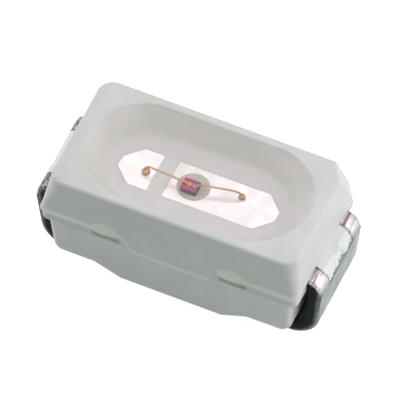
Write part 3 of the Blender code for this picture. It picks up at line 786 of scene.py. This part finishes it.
def web_solid(side):
    """Moulding between a lead's prongs; its flash ends in a ragged edge above the plate.

    The two fixed coordinates of each noise only pick a stretch of it for this end.
    """
    low = FRAME_TOP - PRONG_WINDOW_HEIGHT + SLOT_GAP
    root = RIDGE_HALF_LENGTH - LOWER_END_STEP - WEB_REACH / 2
    half_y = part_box("anode_lead")[1].y - PRONG_WIDTH - SLOT_GAP
    full = WEB_FULL if side < 0 else 0
    ragged = WEB_RAGGED if side > 0 else WEB_RAGGED / 4
    rings = []
    for i in range(WEB_STEPS + 1):
        y = (2 * i / WEB_STEPS - 1) * half_y
        coarse = noise.noise(Vector((y / WEB_COARSE, 3.7 * side, 0.4)))
        fine = noise.noise(Vector((y / WEB_FINE, 8.1 * side, 5.3)))
        reach = RIDGE_HALF_LENGTH + WEB_REACH + full / 2 + ragged * (0.9 * coarse + 0.6 * fine)
        reach = min(reach, WEB_LIMIT)
        sag = 0.7 * ragged * max(0, 1.4 * coarse - 0.8 * fine)
        outline = [
            (root, low),
            (reach - WEB_RAGGED / 2, low + sag),
            (reach, low + sag + WEB_RAGGED / 2),
            (reach - WEB_RAGGED / 3, FRAME_BOTTOM + STRIP_THICKNESS / 4),
            (reach - WEB_RAGGED, FRAME_BOTTOM + STRIP_THICKNESS / 2.5 + full),
            (RIDGE_HALF_LENGTH + 0.55 * WEB_REACH, FRAME_TOP - STRIP_THICKNESS / 3 + full / 2),
            (RIDGE_HALF_LENGTH - BAND_INSET, FRAME_TOP + LAP / 2),
            (root, FRAME_TOP + LAP / 2),
        ]
        rings.append([(side * x, y, z) for x, z in outline])
    maker = loft(rings)
    for face in maker.faces:
        reach = abs(face.calc_center_median().x) - RIDGE_HALF_LENGTH
        # Painted highlight: the outer rim of the flash takes the whiter moulding.
        face.material_index = HIGHLIT if reach > 0.62 * WEB_REACH else PLAIN
    return maker


def pocket_space(x, side):
    """A pocket under a lid, wider towards its mouth, with painted shade on its deep faces."""
    wall = RIDGE_HALF_WIDTH - BAND_INSET
    mouth = 2 * LID_REACH
    steps = ((POCKET_DEPTH, 0), (POCKET_EDGE, POCKET_EDGE / 5), (0, POCKET_EDGE))
    steps += ((-mouth, POCKET_EDGE + mouth),)
    rings = []
    for depth, spread in steps:
        y = side * (wall - depth)
        half = POCKET_HALF_WIDTH + spread
        low, high = FRAME_BOTTOM - spread, FRAME_TOP - LIP_RADIUS
        corners = ((x - half, low), (x + half, low), (x + half, high), (x - half, high))
        rings.append([(a, y, z) for a, z in corners])
    maker = loft(rings)
    for face in maker.faces:
        depth = wall - abs(face.calc_center_median().y)
        # Painted shade: faces deep in the pocket take the darker, warmer moulding.
        face.material_index = SHADED_POCKET if depth > POCKET_EDGE else PLAIN
    return maker


def cavity_space():
    """The reflector: a filleted floor, drafted walls and a rounded rim."""
    floor = FRAME_TOP + FLOOR_COVER
    profile = []
    for i in range(EDGE_STEPS + 1):
        turn = pi / 2 * i / EDGE_STEPS
        spread = FLOOR_FILLET * (sin(turn) - 1) * FILLET_SPREAD
        profile.append((floor + FLOOR_FILLET * (1 - cos(turn)), spread))
    for i in range(1, EDGE_STEPS + 1):
        turn = pi / 2 * i / EDGE_STEPS
        profile.append((TOP - RIM_EDGE * (1 - sin(turn)), RIM_EDGE * (1 - cos(turn))))
    profile.append((TOP + RIM_EDGE, 2 * RIM_EDGE))
    rings = []
    for z, spread in profile:
        drop = TOP - z
        half_x = CAVITY_HALF_LENGTH - drop * tan(CAVITY_END_DRAFT) + spread
        half_y = CAVITY_HALF_WIDTH - drop * tan(CAVITY_SIDE_DRAFT) + spread
        rings.append(stadium(half_x, half_y, z))
    maker = loft(rings)
    for face in maker.faces:
        low = face.calc_center_median().z < floor + FLOOR_FILLET / 20
        # Painted shade: the floor and the foot of its fillet take the darker moulding.
        face.material_index = SHADED_FLOOR if low else PLAIN
    return maker


def window_space():
    """The opening in the floor that shows the two pads."""
    rings = []
    low = FRAME_TOP + SLOT_GAP
    for z, spread in ((FRAME_TOP, 0), (low, 0), (FRAME_TOP + 2 * FLOOR_COVER, WINDOW_FLARE)):
        x, y = WINDOW_HALF_LENGTH + spread, WINDOW_HALF_WIDTH + spread
        inner_x, inner_y = x - WINDOW_CHAMFER, y - WINDOW_CHAMFER
        quarter = [(x, inner_y), (inner_x, y)]
        ring = quarter + [(-a, b) for a, b in reversed(quarter)]
        ring += [(-a, -b) for a, b in quarter] + [(a, -b) for a, b in reversed(quarter)]
        rings.append([(a, b, z) for a, b in ring])
    maker = loft(rings)
    for face in maker.faces:
        # Painted shade: the window's edges take the floor's darker moulding.
        face.material_index = SHADED_FLOOR
    return maker


def slot_spaces(name, side):
    """Where a lead passes through the moulding: one wide slot and two for its prongs."""
    pad_edge, reach, half_width = lead_span(name, side)
    prong_start = reach - PRONG_LENGTH
    half_y = half_width + SLOT_GAP
    inner_y = half_width - PRONG_WIDTH - SLOT_GAP
    bottom, top = FRAME_BOTTOM - SLOT_GAP, FRAME_TOP + SLOT_GAP
    far = RIDGE_HALF_LENGTH + WEB_REACH + SLOT_OVERRUN
    blocks = [((pad_edge - SLOT_GAP, -half_y), (prong_start, half_y))]
    blocks.append(((prong_start - SLOT_GAP, -half_y), (far, -inner_y)))
    blocks.append(((prong_start - SLOT_GAP, inner_y), (far, half_y)))
    for (x0, y0), (x1, y1) in blocks:
        ends = sorted((side * x0, side * x1))
        yield box_solid((ends[0], y0, bottom), (ends[1], y1, top))


WHITE = moulding_material("white_moulding", MOULDING, MOULDING_DEEP)
HIGHLIGHT_MOULDING = moulding_material("painted_highlight", PAINTED_HIGHLIGHT, PAINTED_HIGHLIGHT_DEEP)
POCKET_SHADE_MOULDING = moulding_material("pocket_painted_shade", POCKET_PAINTED_SHADE, POCKET_PAINTED_SHADE_DEEP)
FLOOR_SHADE_MOULDING = moulding_material("floor_painted_shade", FLOOR_PAINTED_SHADE, FLOOR_PAINTED_SHADE_DEEP)


def helper(maker, name):
    """An object for a Boolean to use. Its faces keep their material numbers."""
    maker.transform(Matrix.Scale(1 / MM, 4))  # in millimetres, where the solver is surer
    mesh = mesh_from(maker, name)
    for material in (WHITE, HIGHLIGHT_MOULDING, POCKET_SHADE_MOULDING, FLOOR_SHADE_MOULDING):
        mesh.materials.append(material)
    made = bpy.data.objects.new(name, mesh)
    bpy.context.scene.collection.objects.link(made)
    return made


def combine(target, other, operation):
    """Joins the other solid to the target, or takes it away."""
    modifier = target.modifiers.new(f"{operation.lower()} {other.name}", "BOOLEAN")
    modifier.operation = operation
    modifier.object = other
    modifier.solver = "EXACT"


def housing_mesh():
    """The solids joined, less the spaces, as one plain mesh."""
    places = [(x, side) for x in (-TIE_BAR_PLACE, TIE_BAR_PLACE) for side in (-1, 1)]
    lids = [lid_solid(x, side) for x, side in places]
    # Painted highlight: the lids take the whiter moulding.
    for maker in lids:
        for face in maker.faces:
            face.material_index = HIGHLIT
    adds = [ridge_lip_solid(-1), ridge_lip_solid(1), skirt_solid(), band_solid(), lower_solid()]
    adds += [foot_solid(), web_solid(-1), web_solid(1), *lids]
    takes = [pocket_space(x, side) for x, side in places] + [cavity_space(), window_space()]
    takes += [*slot_spaces("anode_lead", -1), *slot_spaces("cathode_lead", 1)]
    body = helper(upper_solid(), "upper")
    helpers = []
    for makers, operation in ((adds, "UNION"), (takes, "DIFFERENCE")):
        for maker in makers:
            helpers.append(helper(maker, f"part_{len(helpers)}"))
            combine(body, helpers[-1], operation)
    graph = bpy.context.evaluated_depsgraph_get()
    mesh = bpy.data.meshes.new_from_object(body.evaluated_get(graph))
    mesh.transform(Matrix.Scale(MM, 4))
    for used in [body, *helpers]:
        bpy.data.objects.remove(used, do_unlink=True)
    return mesh


mesh = housing_mesh()
mesh.name = "reflector_housing"
shade(mesh, 32)
housing = add_piece("reflector_housing", mesh, "housing_moulding", "housing")
weigh = housing.modifiers.new("flat faces stay flat", "WEIGHTED_NORMAL")
weigh.keep_sharp = True

# Die attach
# A dispensed dot of adhesive filled with metal flakes. It was pressed flat under the chip
# and cured, so its rim is rounded and flakes glint in its grey.

ADHESIVE = (0.66, 0.62, 0.53)
FLAKE = (0.86, 0.82, 0.74)
SPOT_STEPS = 96
FLAKE_DENSITY = 3.2e9  # flakes on each square metre
FLAKE_RADIUS = 0.0045 * MM
FLAKE_SIDES = 5
FLAKE_SIZES = (0.5, 1.3)  # smallest and largest, as shares of the radius
FLAKE_LIFT = 0.0002 * MM
FLAKE_SEED = 7
# Share of the spot's radius, and of its height
SPOT_PROFILE = ((0.985, 0.02), (1.0, 0.35), (0.985, 0.70), (0.95, 0.93), (0.90, 0.985), (0.45, 0.99))


def geometry_tree(name, inputs):
    """A Geometry Nodes tree with the named inputs, and its two end nodes."""
    tree = bpy.data.node_groups.new(name, "GeometryNodeTree")
    for label, kind in (("Geometry", "Geometry"), *inputs):
        tree.interface.new_socket(name=label, in_out="INPUT", socket_type=f"NodeSocket{kind}")
    tree.interface.new_socket(name="Geometry", in_out="OUTPUT", socket_type="NodeSocketGeometry")
    return tree, tree.nodes.new("NodeGroupInput").outputs, tree.nodes.new("NodeGroupOutput")


def made_by_tree(tree, base_mesh, values, name):
    """The plain mesh that the tree makes of the base mesh with these input values."""
    base = bpy.data.objects.new(f"{name}_base", base_mesh)
    bpy.context.scene.collection.objects.link(base)
    modifier = base.modifiers.new(tree.name, "NODES")
    modifier.node_group = tree
    for item in tree.interface.items_tree:
        if item.in_out == "INPUT" and item.name in values:
            modifier[item.identifier] = values[item.name]
    graph = bpy.context.evaluated_depsgraph_get()
    result = bpy.data.meshes.new_from_object(base.evaluated_get(graph))
    result.name = name
    bpy.data.objects.remove(base, do_unlink=True)
    return result


def adhesive_material():
    """Grey resin, mottled and slightly rough, with brighter flakes."""
    material, tree, shader, where = new_material("filled_adhesive")
    height, mottle = add_grain(tree, where, 120000, 30000)
    tone = blend_colours(tree, mottle, dimmed(ADHESIVE, 0.86), ADHESIVE)
    tone = blend_colours(tree, stored(tree, "flake"), tone, FLAKE)
    tree.links.new(tone, shader.inputs["Base Color"])
    tree.links.new(ramp(tree, height, ((0.3, 0.4), (0.7, 0.6))), shader.inputs["Roughness"])
    tree.links.new(relief(tree, height, 0.0008 * MM), shader.inputs["Normal"])
    return material


def flaked_tree():
    """Flakes scattered over the base's faces, each turned and sized by chance."""
    inputs = (("Density", "Float"), ("Flake Radius", "Float"), ("Seed", "Int"))
    tree, given, result = geometry_tree("flakes_on_faces", (*inputs, ("Material", "Material")))
    spread = node(
        tree,
        "GeometryNodeDistributePointsOnFaces",
        {"Mesh": given["Geometry"], "Density": given["Density"], "Seed": given["Seed"]},
    )
    flake = node(
        tree,
        "GeometryNodeMeshCircle",
        {"Vertices": FLAKE_SIDES, "Radius": given["Flake Radius"]},
        fill_type="NGON",
    )
    smallest, largest = FLAKE_SIZES
    size = node(
        tree,
        "FunctionNodeRandomValue",
        {2: smallest, 3: largest, "Seed": given["Seed"]},
        data_type="FLOAT",
    )
    placed = node(
        tree,
        "GeometryNodeInstanceOnPoints",
        {
            "Points": spread.outputs["Points"],
            "Instance": flake.outputs["Mesh"],
            "Rotation": spread.outputs["Rotation"],
            "Scale": size.outputs[1],
        },
    )
    marked = node(
        tree,
        "GeometryNodeStoreNamedAttribute",
        {"Geometry": placed.outputs["Instances"], "Name": "flake", "Value": 1.0},
        data_type="FLOAT",
        domain="INSTANCE",
    )
    lifted = node(
        tree,
        "GeometryNodeTranslateInstances",
        {"Instances": marked.outputs[0], "Translation": (0, 0, FLAKE_LIFT)},
    )
    joined = tree.nodes.new("GeometryNodeJoinGeometry")
    tree.links.new(given["Geometry"], joined.inputs[0])
    tree.links.new(lifted.outputs[0], joined.inputs[0])
    real = node(tree, "GeometryNodeRealizeInstances", {"Geometry": joined.outputs[0]})
    done = node(
        tree,
        "GeometryNodeSetMaterial",
        {"Geometry": real.outputs[0], "Material": given["Material"]},
    )
    tree.links.new(done.outputs[0], result.inputs[0])
    return tree


low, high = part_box("die_attach")
centre_x = (low.x + high.x) / 2
centre_y = (low.y + high.y) / 2
rings = []
for share, rise in SPOT_PROFILE:
    radius = share * (high.x - low.x) / 2
    ring = arc(centre_x, centre_y, radius, 0, 2 * pi, SPOT_STEPS)[:-1]
    rings.append([(x, y, low.z + rise * (high.z - low.z)) for x, y in ring])
spot_mesh = mesh_from(loft(rings), "adhesive_spot_base")
values = {"Density": FLAKE_DENSITY, "Flake Radius": FLAKE_RADIUS, "Seed": FLAKE_SEED}
values["Material"] = adhesive_material()
spot_mesh = made_by_tree(flaked_tree(), spot_mesh, values, "adhesive_spot")
shade(spot_mesh, 40)
add_piece("adhesive_spot", spot_mesh, "die_attach_adhesive", "die_attach")

# Chip
# A sawn block of crystal, dark and rough at its sides, held by the adhesive. The polished
# layer grown on its top shows crimson and violet; round the anode's pad it carries a painted orange
# reflection of the gold.

GROWN_RED = (0.50, 0.055, 0.17)
GROWN_VIOLET = (0.34, 0.07, 0.28)
SAWN = (0.060, 0.050, 0.085)
SAWN_PALE = (0.14, 0.15, 0.14)
# Painted reflection: the gold pad's orange light, spread over the chip round it.
PAINTED_GOLD_REFLECTION = (0.72, 0.30, 0.08)
REFLECTION_RADIUS = 0.040 * MM
TOP_FACE, SAWN_FACE = range(2)  # the places of the chip's two materials
CHIP_LENGTH = 0.17 * MM
CHIP_EDGE = 0.003 * MM


def grown_material(contact):
    """The top layer: red to violet along the chip, with a painted orange reflection of the gold round
    the contact.
    """
    material, tree, shader, where = new_material("grown_layer")
    height, mottle = add_grain(tree, where, 60000, 22000)
    apart = node(
        tree, "ShaderNodeVectorMath", {0: where, 1: contact}, operation="DISTANCE"
    ).outputs["Value"]
    ragged = maths(tree, "MULTIPLY_ADD", mottle, 0.5 * REFLECTION_RADIUS, apart)
    near = maths(tree, "MULTIPLY", ragged, 1 / (2 * REFLECTION_RADIUS))
    along = node(tree, "ShaderNodeSeparateXYZ", {"Vector": where}).outputs["X"]
    from_contact = 0.5 - contact[0] / CHIP_LENGTH
    along = maths(tree, "MULTIPLY_ADD", along, 1 / CHIP_LENGTH, from_contact)
    violet = ramp(tree, along, ((0.35, 0.0), (0.95, 1.0)))
    painted_reflection = ramp(tree, near, ((0.42, 1.0), (0.62, 0.0)), smooth=True)
    tone = blend_colours(tree, violet, GROWN_RED, GROWN_VIOLET)
    tone = blend_colours(tree, painted_reflection, tone, PAINTED_GOLD_REFLECTION)
    tree.links.new(tone, shader.inputs["Base Color"])
    shader.inputs["Roughness"].default_value = 0.28
    tree.links.new(relief(tree, height, 0.0004 * MM), shader.inputs["Normal"])
    return material


def sawn_material():
    """Dark, finely rough crystal sides, paler in places."""
    material, tree, shader, where = new_material("sawn_crystal")
    height, mottle = add_grain(tree, where, 90000, 18000)
    patches = ramp(tree, mottle, ((0.45, 0.0), (0.70, 1.0)))
    tree.links.new(blend_colours(tree, patches, SAWN, SAWN_PALE), shader.inputs["Base Color"])
    shader.inputs["Roughness"].default_value = 0.5
    tree.links.new(relief(tree, height, 0.001 * MM), shader.inputs["Normal"])
    return material


low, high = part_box("led_chip")
maker = box_solid(low, high, CHIP_EDGE)
for face in maker.faces:
    face.material_index = TOP_FACE if face.normal.z > 0.5 else SAWN_FACE
chip_mesh = mesh_from(maker, "sawn_chip")
shade(chip_mesh, 35)
pad_low, pad_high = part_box("anode_bond_pad")
contact = (pad_low + pad_high) / 2
chip_mesh.materials.append(grown_material(tuple(contact)))
chip_mesh.materials.append(sawn_material())
add_piece("sawn_chip", chip_mesh, "chip_crystal", "led_chip")

# Bond wires and pads
# Gold wire, welded as a squashed ball on the lead and pressed flat on the chip's gold
# pads. The wire springs up from each ball and falls in a long slope to the chip.

GOLD_PALE = (0.76, 0.50, 0.31)
GOLD_DEEP = (0.64, 0.37, 0.20)
WIRE_RADIUS = 0.0115 * MM
ANODE_BALL = 0.090 * MM
CATHODE_BALL = 0.074 * MM
BALL_FLATNESS = 0.6
WEDGE_RADIUS = 0.026 * MM
WEDGE_HEIGHT = 0.022 * MM
ANODE_RISE = 0.14 * MM
CATHODE_RISE = 0.11 * MM
SEAT = 0.002 * MM  # between a wedge and its pad
ROUTE_STEPS = 8  # between neighbouring points of a loop
# Share of the way from ball to chip, and of the rise
ANODE_LOOP = ((-0.03, 0.24), (-0.01, 0.62), (0.035, 0.92), (0.09, 1.0), (0.20, 0.92))
ANODE_LOOP += ((0.43, 0.69), (0.69, 0.38), (0.88, 0.18))
CATHODE_LOOP = ((0.0, 0.28), (0.03, 0.66), (0.12, 0.92), (0.28, 0.94), (0.45, 0.84))
CATHODE_LOOP += ((0.62, 0.76), (0.78, 0.66), (0.90, 0.42))


def gold_material():
    """Drawn gold, a little uneven in its tone and gloss."""
    material, tree, shader, where = new_material("gold")
    height, mottle = add_grain(tree, where, 90000, 20000)
    tree.links.new(blend_colours(tree, mottle, GOLD_DEEP, GOLD_PALE), shader.inputs["Base Color"])
    shader.inputs["Metallic"].default_value = 1.0
    tree.links.new(ramp(tree, height, ((0.3, 0.32), (0.7, 0.46))), shader.inputs["Roughness"])
    tree.links.new(relief(tree, height, 0.0004 * MM), shader.inputs["Normal"])
    return material


def bump_nodes(tree, radius, height, place):
    """A squashed ball that stands at the place."""
    ball = node(tree, "GeometryNodeMeshUVSphere", {"Segments": 32, "Rings": 20, "Radius": 1.0})
    half = maths(tree, "MULTIPLY", height, 0.5)
    size = node(tree, "ShaderNodeCombineXYZ", {"X": radius, "Y": radius, "Z": half}).outputs[0]
    lift = node(tree, "ShaderNodeCombineXYZ", {"Z": half}).outputs[0]
    centre = node(tree, "ShaderNodeVectorMath", {0: place, 1: lift}, operation="ADD").outputs[0]
    values = {"Geometry": ball.outputs["Mesh"], "Translation": centre, "Scale": size}
    return node(tree, "GeometryNodeTransform", values).outputs[0]


def wire_tree():
    """A round wire along the base's edges, with a ball and a wedge at its two ends."""
    inputs = (("Wire Radius", "Float"), ("Ball Radius", "Float"), ("Ball Height", "Float"))
    inputs += (("Ball Place", "Vector"), ("Wedge Radius", "Float"), ("Wedge Height", "Float"))
    inputs += (("Wedge Place", "Vector"), ("Material", "Material"))
    tree, given, result = geometry_tree("bonded_wire", inputs)
    line = node(tree, "GeometryNodeMeshToCurve", {"Mesh": given["Geometry"]})
    ring = node(
        tree, "GeometryNodeCurvePrimitiveCircle", {"Resolution": 16, "Radius": given["Wire Radius"]}
    )
    wire = node(
        tree,
        "GeometryNodeCurveToMesh",
        {"Curve": line.outputs[0], "Profile Curve": ring.outputs[0], "Fill Caps": True},
    )
    joined = tree.nodes.new("GeometryNodeJoinGeometry")
    tree.links.new(wire.outputs[0], joined.inputs[0])
    for end in ("Ball", "Wedge"):
        bump = bump_nodes(tree, given[f"{end} Radius"], given[f"{end} Height"], given[f"{end} Place"])
        tree.links.new(bump, joined.inputs[0])
    real = node(tree, "GeometryNodeRealizeInstances", {"Geometry": joined.outputs[0]})
    done = node(
        tree, "GeometryNodeSetMaterial", {"Geometry": real.outputs[0], "Material": given["Material"]}
    )
    tree.links.new(done.outputs[0], result.inputs[0])
    return tree


def smooth_route(points, steps):
    """A curve through every point, each stretch bent by its neighbours."""
    ends = [points[0] * 2 - points[1], *points, points[-1] * 2 - points[-2]]
    route = []
    for a, b, c, d in zip(ends, ends[1:], ends[2:], ends[3:]):
        for i in range(steps):
            t = i / steps
            bend = a * 2 - b * 5 + c * 4 - d
            twist = b * 3 - a - c * 3 + d
            route.append(b + ((c - a) * t + bend * t**2 + twist * t**3) / 2)
    return [*route, points[-1]]


def bonded_wire(name, pad, ball, ball_size, rise, loop):
    """One wire from its ball on the lead to its pad on the chip."""
    pad_low, pad_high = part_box(pad)
    landing = Vector(((pad_low.x + pad_high.x) / 2, (pad_low.y + pad_high.y) / 2, pad_high.z + SEAT))
    start = ball + Vector((0, 0, ball_size * BALL_FLATNESS / 2))
    end = landing + Vector((0, 0, WEDGE_HEIGHT / 2))
    points = [start.lerp(end, share) + Vector((0, 0, rise * lift)) for share, lift in loop]
    route = smooth_route([start, *points, end], ROUTE_STEPS)
    line = bpy.data.meshes.new(f"{name}_route")
    line.from_pydata([tuple(p) for p in route], [(i, i + 1) for i in range(len(route) - 1)], [])
    values = {
        "Wire Radius": WIRE_RADIUS,
        "Ball Radius": ball_size / 2,
        "Ball Height": ball_size * BALL_FLATNESS,
        "Ball Place": tuple(ball),
        "Wedge Radius": WEDGE_RADIUS,
        "Wedge Height": WEDGE_HEIGHT,
        "Wedge Place": tuple(landing),
        "Material": GOLD,
    }
    result = made_by_tree(WIRE_TREE, line, values, f"bonded_{name}")
    result.shade_smooth()
    add_piece(f"bonded_{name}", result, "gold", name)


GOLD = gold_material()
WIRE_TREE = wire_tree()
low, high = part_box("anode_wire")
ball = Vector((low.x + ANODE_BALL / 2, low.y + ANODE_BALL / 2, low.z))
bonded_wire("anode_wire", "anode_bond_pad", ball, ANODE_BALL, ANODE_RISE, ANODE_LOOP)
low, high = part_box("cathode_wire")
ball = Vector((high.x - CATHODE_BALL / 2, high.y - CATHODE_BALL / 2, low.z))
bonded_wire("cathode_wire", "cathode_bond_pad", ball, CATHODE_BALL, CATHODE_RISE, CATHODE_LOOP)
for name in ("anode_bond_pad", "cathode_bond_pad"):
    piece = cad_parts[name]
    piece.data.materials.clear()
    piece.data.materials.append(GOLD)

# Resin
# Clear silicone poured into the reflector over the chip and cured. Its surface dishes
# a little, and it meets the walls all round.

FILL_DROP = 0.012 * MM
DISH = 0.025 * MM
DISH_STEPS = 12
BURIED = 0.003 * MM  # how far it runs into the walls that it wets
RESIN = (0.80, 0.795, 0.79)
RESIN_SHADOW = (0.36, 0.355, 0.35)  # what it lets through of a lamp's light
RESIN_INDEX = 1.41


def clear_material():
    """Clear silicone, which the lamps shine through without being bent."""
    material, tree, shader, where = new_material("clear_silicone")
    shader.inputs["Base Color"].default_value = (*RESIN, 1)
    shader.inputs["Roughness"].default_value = 0.03
    shader.inputs["IOR"].default_value = RESIN_INDEX
    shader.inputs["Transmission Weight"].default_value = 1.0
    ripple, _ = add_grain(tree, where, 2500, 900)
    tree.links.new(relief(tree, ripple, 0.002 * MM), shader.inputs["Normal"])
    path = node(tree, "ShaderNodeLightPath")
    through = node(tree, "ShaderNodeBsdfTransparent", {"Color": (*RESIN_SHADOW, 1)})
    both = node(
        tree,
        "ShaderNodeMixShader",
        {0: path.outputs["Is Shadow Ray"], 1: shader.outputs[0], 2: through.outputs[0]},
    )
    tree.links.new(both.outputs[0], tree.nodes["Material Output"].inputs["Surface"])
    return material


edge = TOP - FILL_DROP
rings = []
for z in (FRAME_TOP - BURIED, edge):
    drop = TOP - z
    half_x = CAVITY_HALF_LENGTH - drop * tan(CAVITY_END_DRAFT) + BURIED
    half_y = CAVITY_HALF_WIDTH - drop * tan(CAVITY_SIDE_DRAFT) + BURIED
    rings.append(stadium(half_x, half_y, z))
for i in range(1, DISH_STEPS):
    inward = i / DISH_STEPS
    inset = half_y * inward
    sink = DISH * (1 - (1 - inward) ** 2)
    rings.append(stadium(half_x - inset, half_y - inset, edge - sink))
resin_mesh = mesh_from(loft(rings), "clear_fill")
shade(resin_mesh, 30)
resin_mesh.materials.append(clear_material())
add_piece("clear_fill", resin_mesh, "clear_resin", "encapsulant")

# Studio
# A plain pale floor, one big soft lamp above, one low at each side, and a weak, slightly
# green fill from all round.

# Name, place and size in millimetres, watts, colour
LAMPS = (
    ("top_lamp", (-1, 4, 17), 24, 0.00157, (1.0, 0.912, 0.96)),
    ("right_lamp", (10, 3.1, 5.6), 8, 0.00050, (1.0, 0.97, 0.985)),
    ("left_lamp", (-17, 3, 5.5), 14, 0.0010, (1.0, 0.95, 0.985)),
)
FILL_COLOUR = (0.84, 1.0, 0.90)
FILL = 0.252
FLOOR_TONE = (0.75, 0.75, 0.75)
FLOOR_GLOW = 0.86
FLOOR_REACH = 400 * MM
CAMERA_TURN = radians(24.2)
CAMERA_RISE = radians(54.1)
LENS = 1500
SENSOR = 36
VIEW_WIDTH = 4.09 * MM
AIM = Vector((0.012, 0.005, 0.943)) * MM


def soft_lamp(name, place, size, power, colour):
    """A square lamp that faces the part."""
    light = bpy.data.lights.new(name, "AREA")
    light.shape = "SQUARE"
    light.size = size * MM
    light.energy = power
    light.color = colour
    lamp = bpy.data.objects.new(name, light)
    bpy.context.scene.collection.objects.link(lamp)
    lamp.location = Vector(place) * MM
    lamp.rotation_mode = "QUATERNION"
    lamp.rotation_quaternion = (-lamp.location).to_track_quat("-Z", "Y")


for lamp in LAMPS:
    soft_lamp(*lamp)

world = bpy.data.worlds.new("studio")
bpy.context.scene.world = world
world.use_nodes = True
fill = world.node_tree.nodes["Background"]
SEEN_WAYS = ("Is Camera Ray", "Is Glossy Ray", "Is Transmission Ray")


def seen_directly(tree):
    """1 for the rays that show the background: straight, mirrored or through clear resin."""
    ways = node(tree, "ShaderNodeLightPath").outputs
    seen = ways[SEEN_WAYS[0]]
    for way in SEEN_WAYS[1:]:
        seen = maths(tree, "MAXIMUM", seen, ways[way])
    return seen


white = {"Color": (1, 1, 1, 1), "Strength": 1.0}
seen = node(world.node_tree, "ShaderNodeBackground", white)
fill.inputs["Color"].default_value = (*FILL_COLOUR, 1)
fill.inputs["Strength"].default_value = FILL
either = node(
    world.node_tree,
    "ShaderNodeMixShader",
    {0: seen_directly(world.node_tree), 1: fill.outputs[0], 2: seen.outputs[0]},
)
world.node_tree.links.new(either.outputs[0], world.node_tree.nodes["World Output"].inputs[0])

floor_mesh = bpy.data.meshes.new("floor")
corners = [(FLOOR_REACH * i, FLOOR_REACH * j, 0) for i, j in ((-1, -1), (1, -1), (1, 1), (-1, 1))]
floor_mesh.from_pydata(corners, [], [(0, 1, 2, 3)])
floor = bpy.data.objects.new("floor", floor_mesh)
bpy.context.scene.collection.objects.link(floor)
material, tree, shader, where = new_material("pale_floor")
shader.inputs["Base Color"].default_value = (*FLOOR_TONE, 1)
shader.inputs["Roughness"].default_value = 0.9
shader.inputs["Specular IOR Level"].default_value = 0.0
shader.inputs["Emission Color"].default_value = (1, 1, 1, 1)
glow = maths(tree, "MULTIPLY", seen_directly(tree), FLOOR_GLOW)
tree.links.new(glow, shader.inputs["Emission Strength"])
floor_mesh.materials.append(material)

camera_data = bpy.data.cameras.new("camera")
camera_data.lens = LENS
camera_data.sensor_width = SENSOR
camera_data.clip_start = 1 * MM
camera_data.clip_end = 1000 * MM
camera = bpy.data.objects.new("camera", camera_data)
bpy.context.scene.collection.objects.link(camera)
level = cos(CAMERA_RISE)
back = Vector((sin(CAMERA_TURN) * level, -cos(CAMERA_TURN) * level, sin(CAMERA_RISE)))
camera.location = AIM + back * VIEW_WIDTH * LENS / SENSOR
camera.rotation_mode = "QUATERNION"
camera.rotation_quaternion = (-back).to_track_quat("-Z", "Y")
bpy.context.scene.camera = camera
bpy.context.scene.view_settings.view_transform = "Standard"
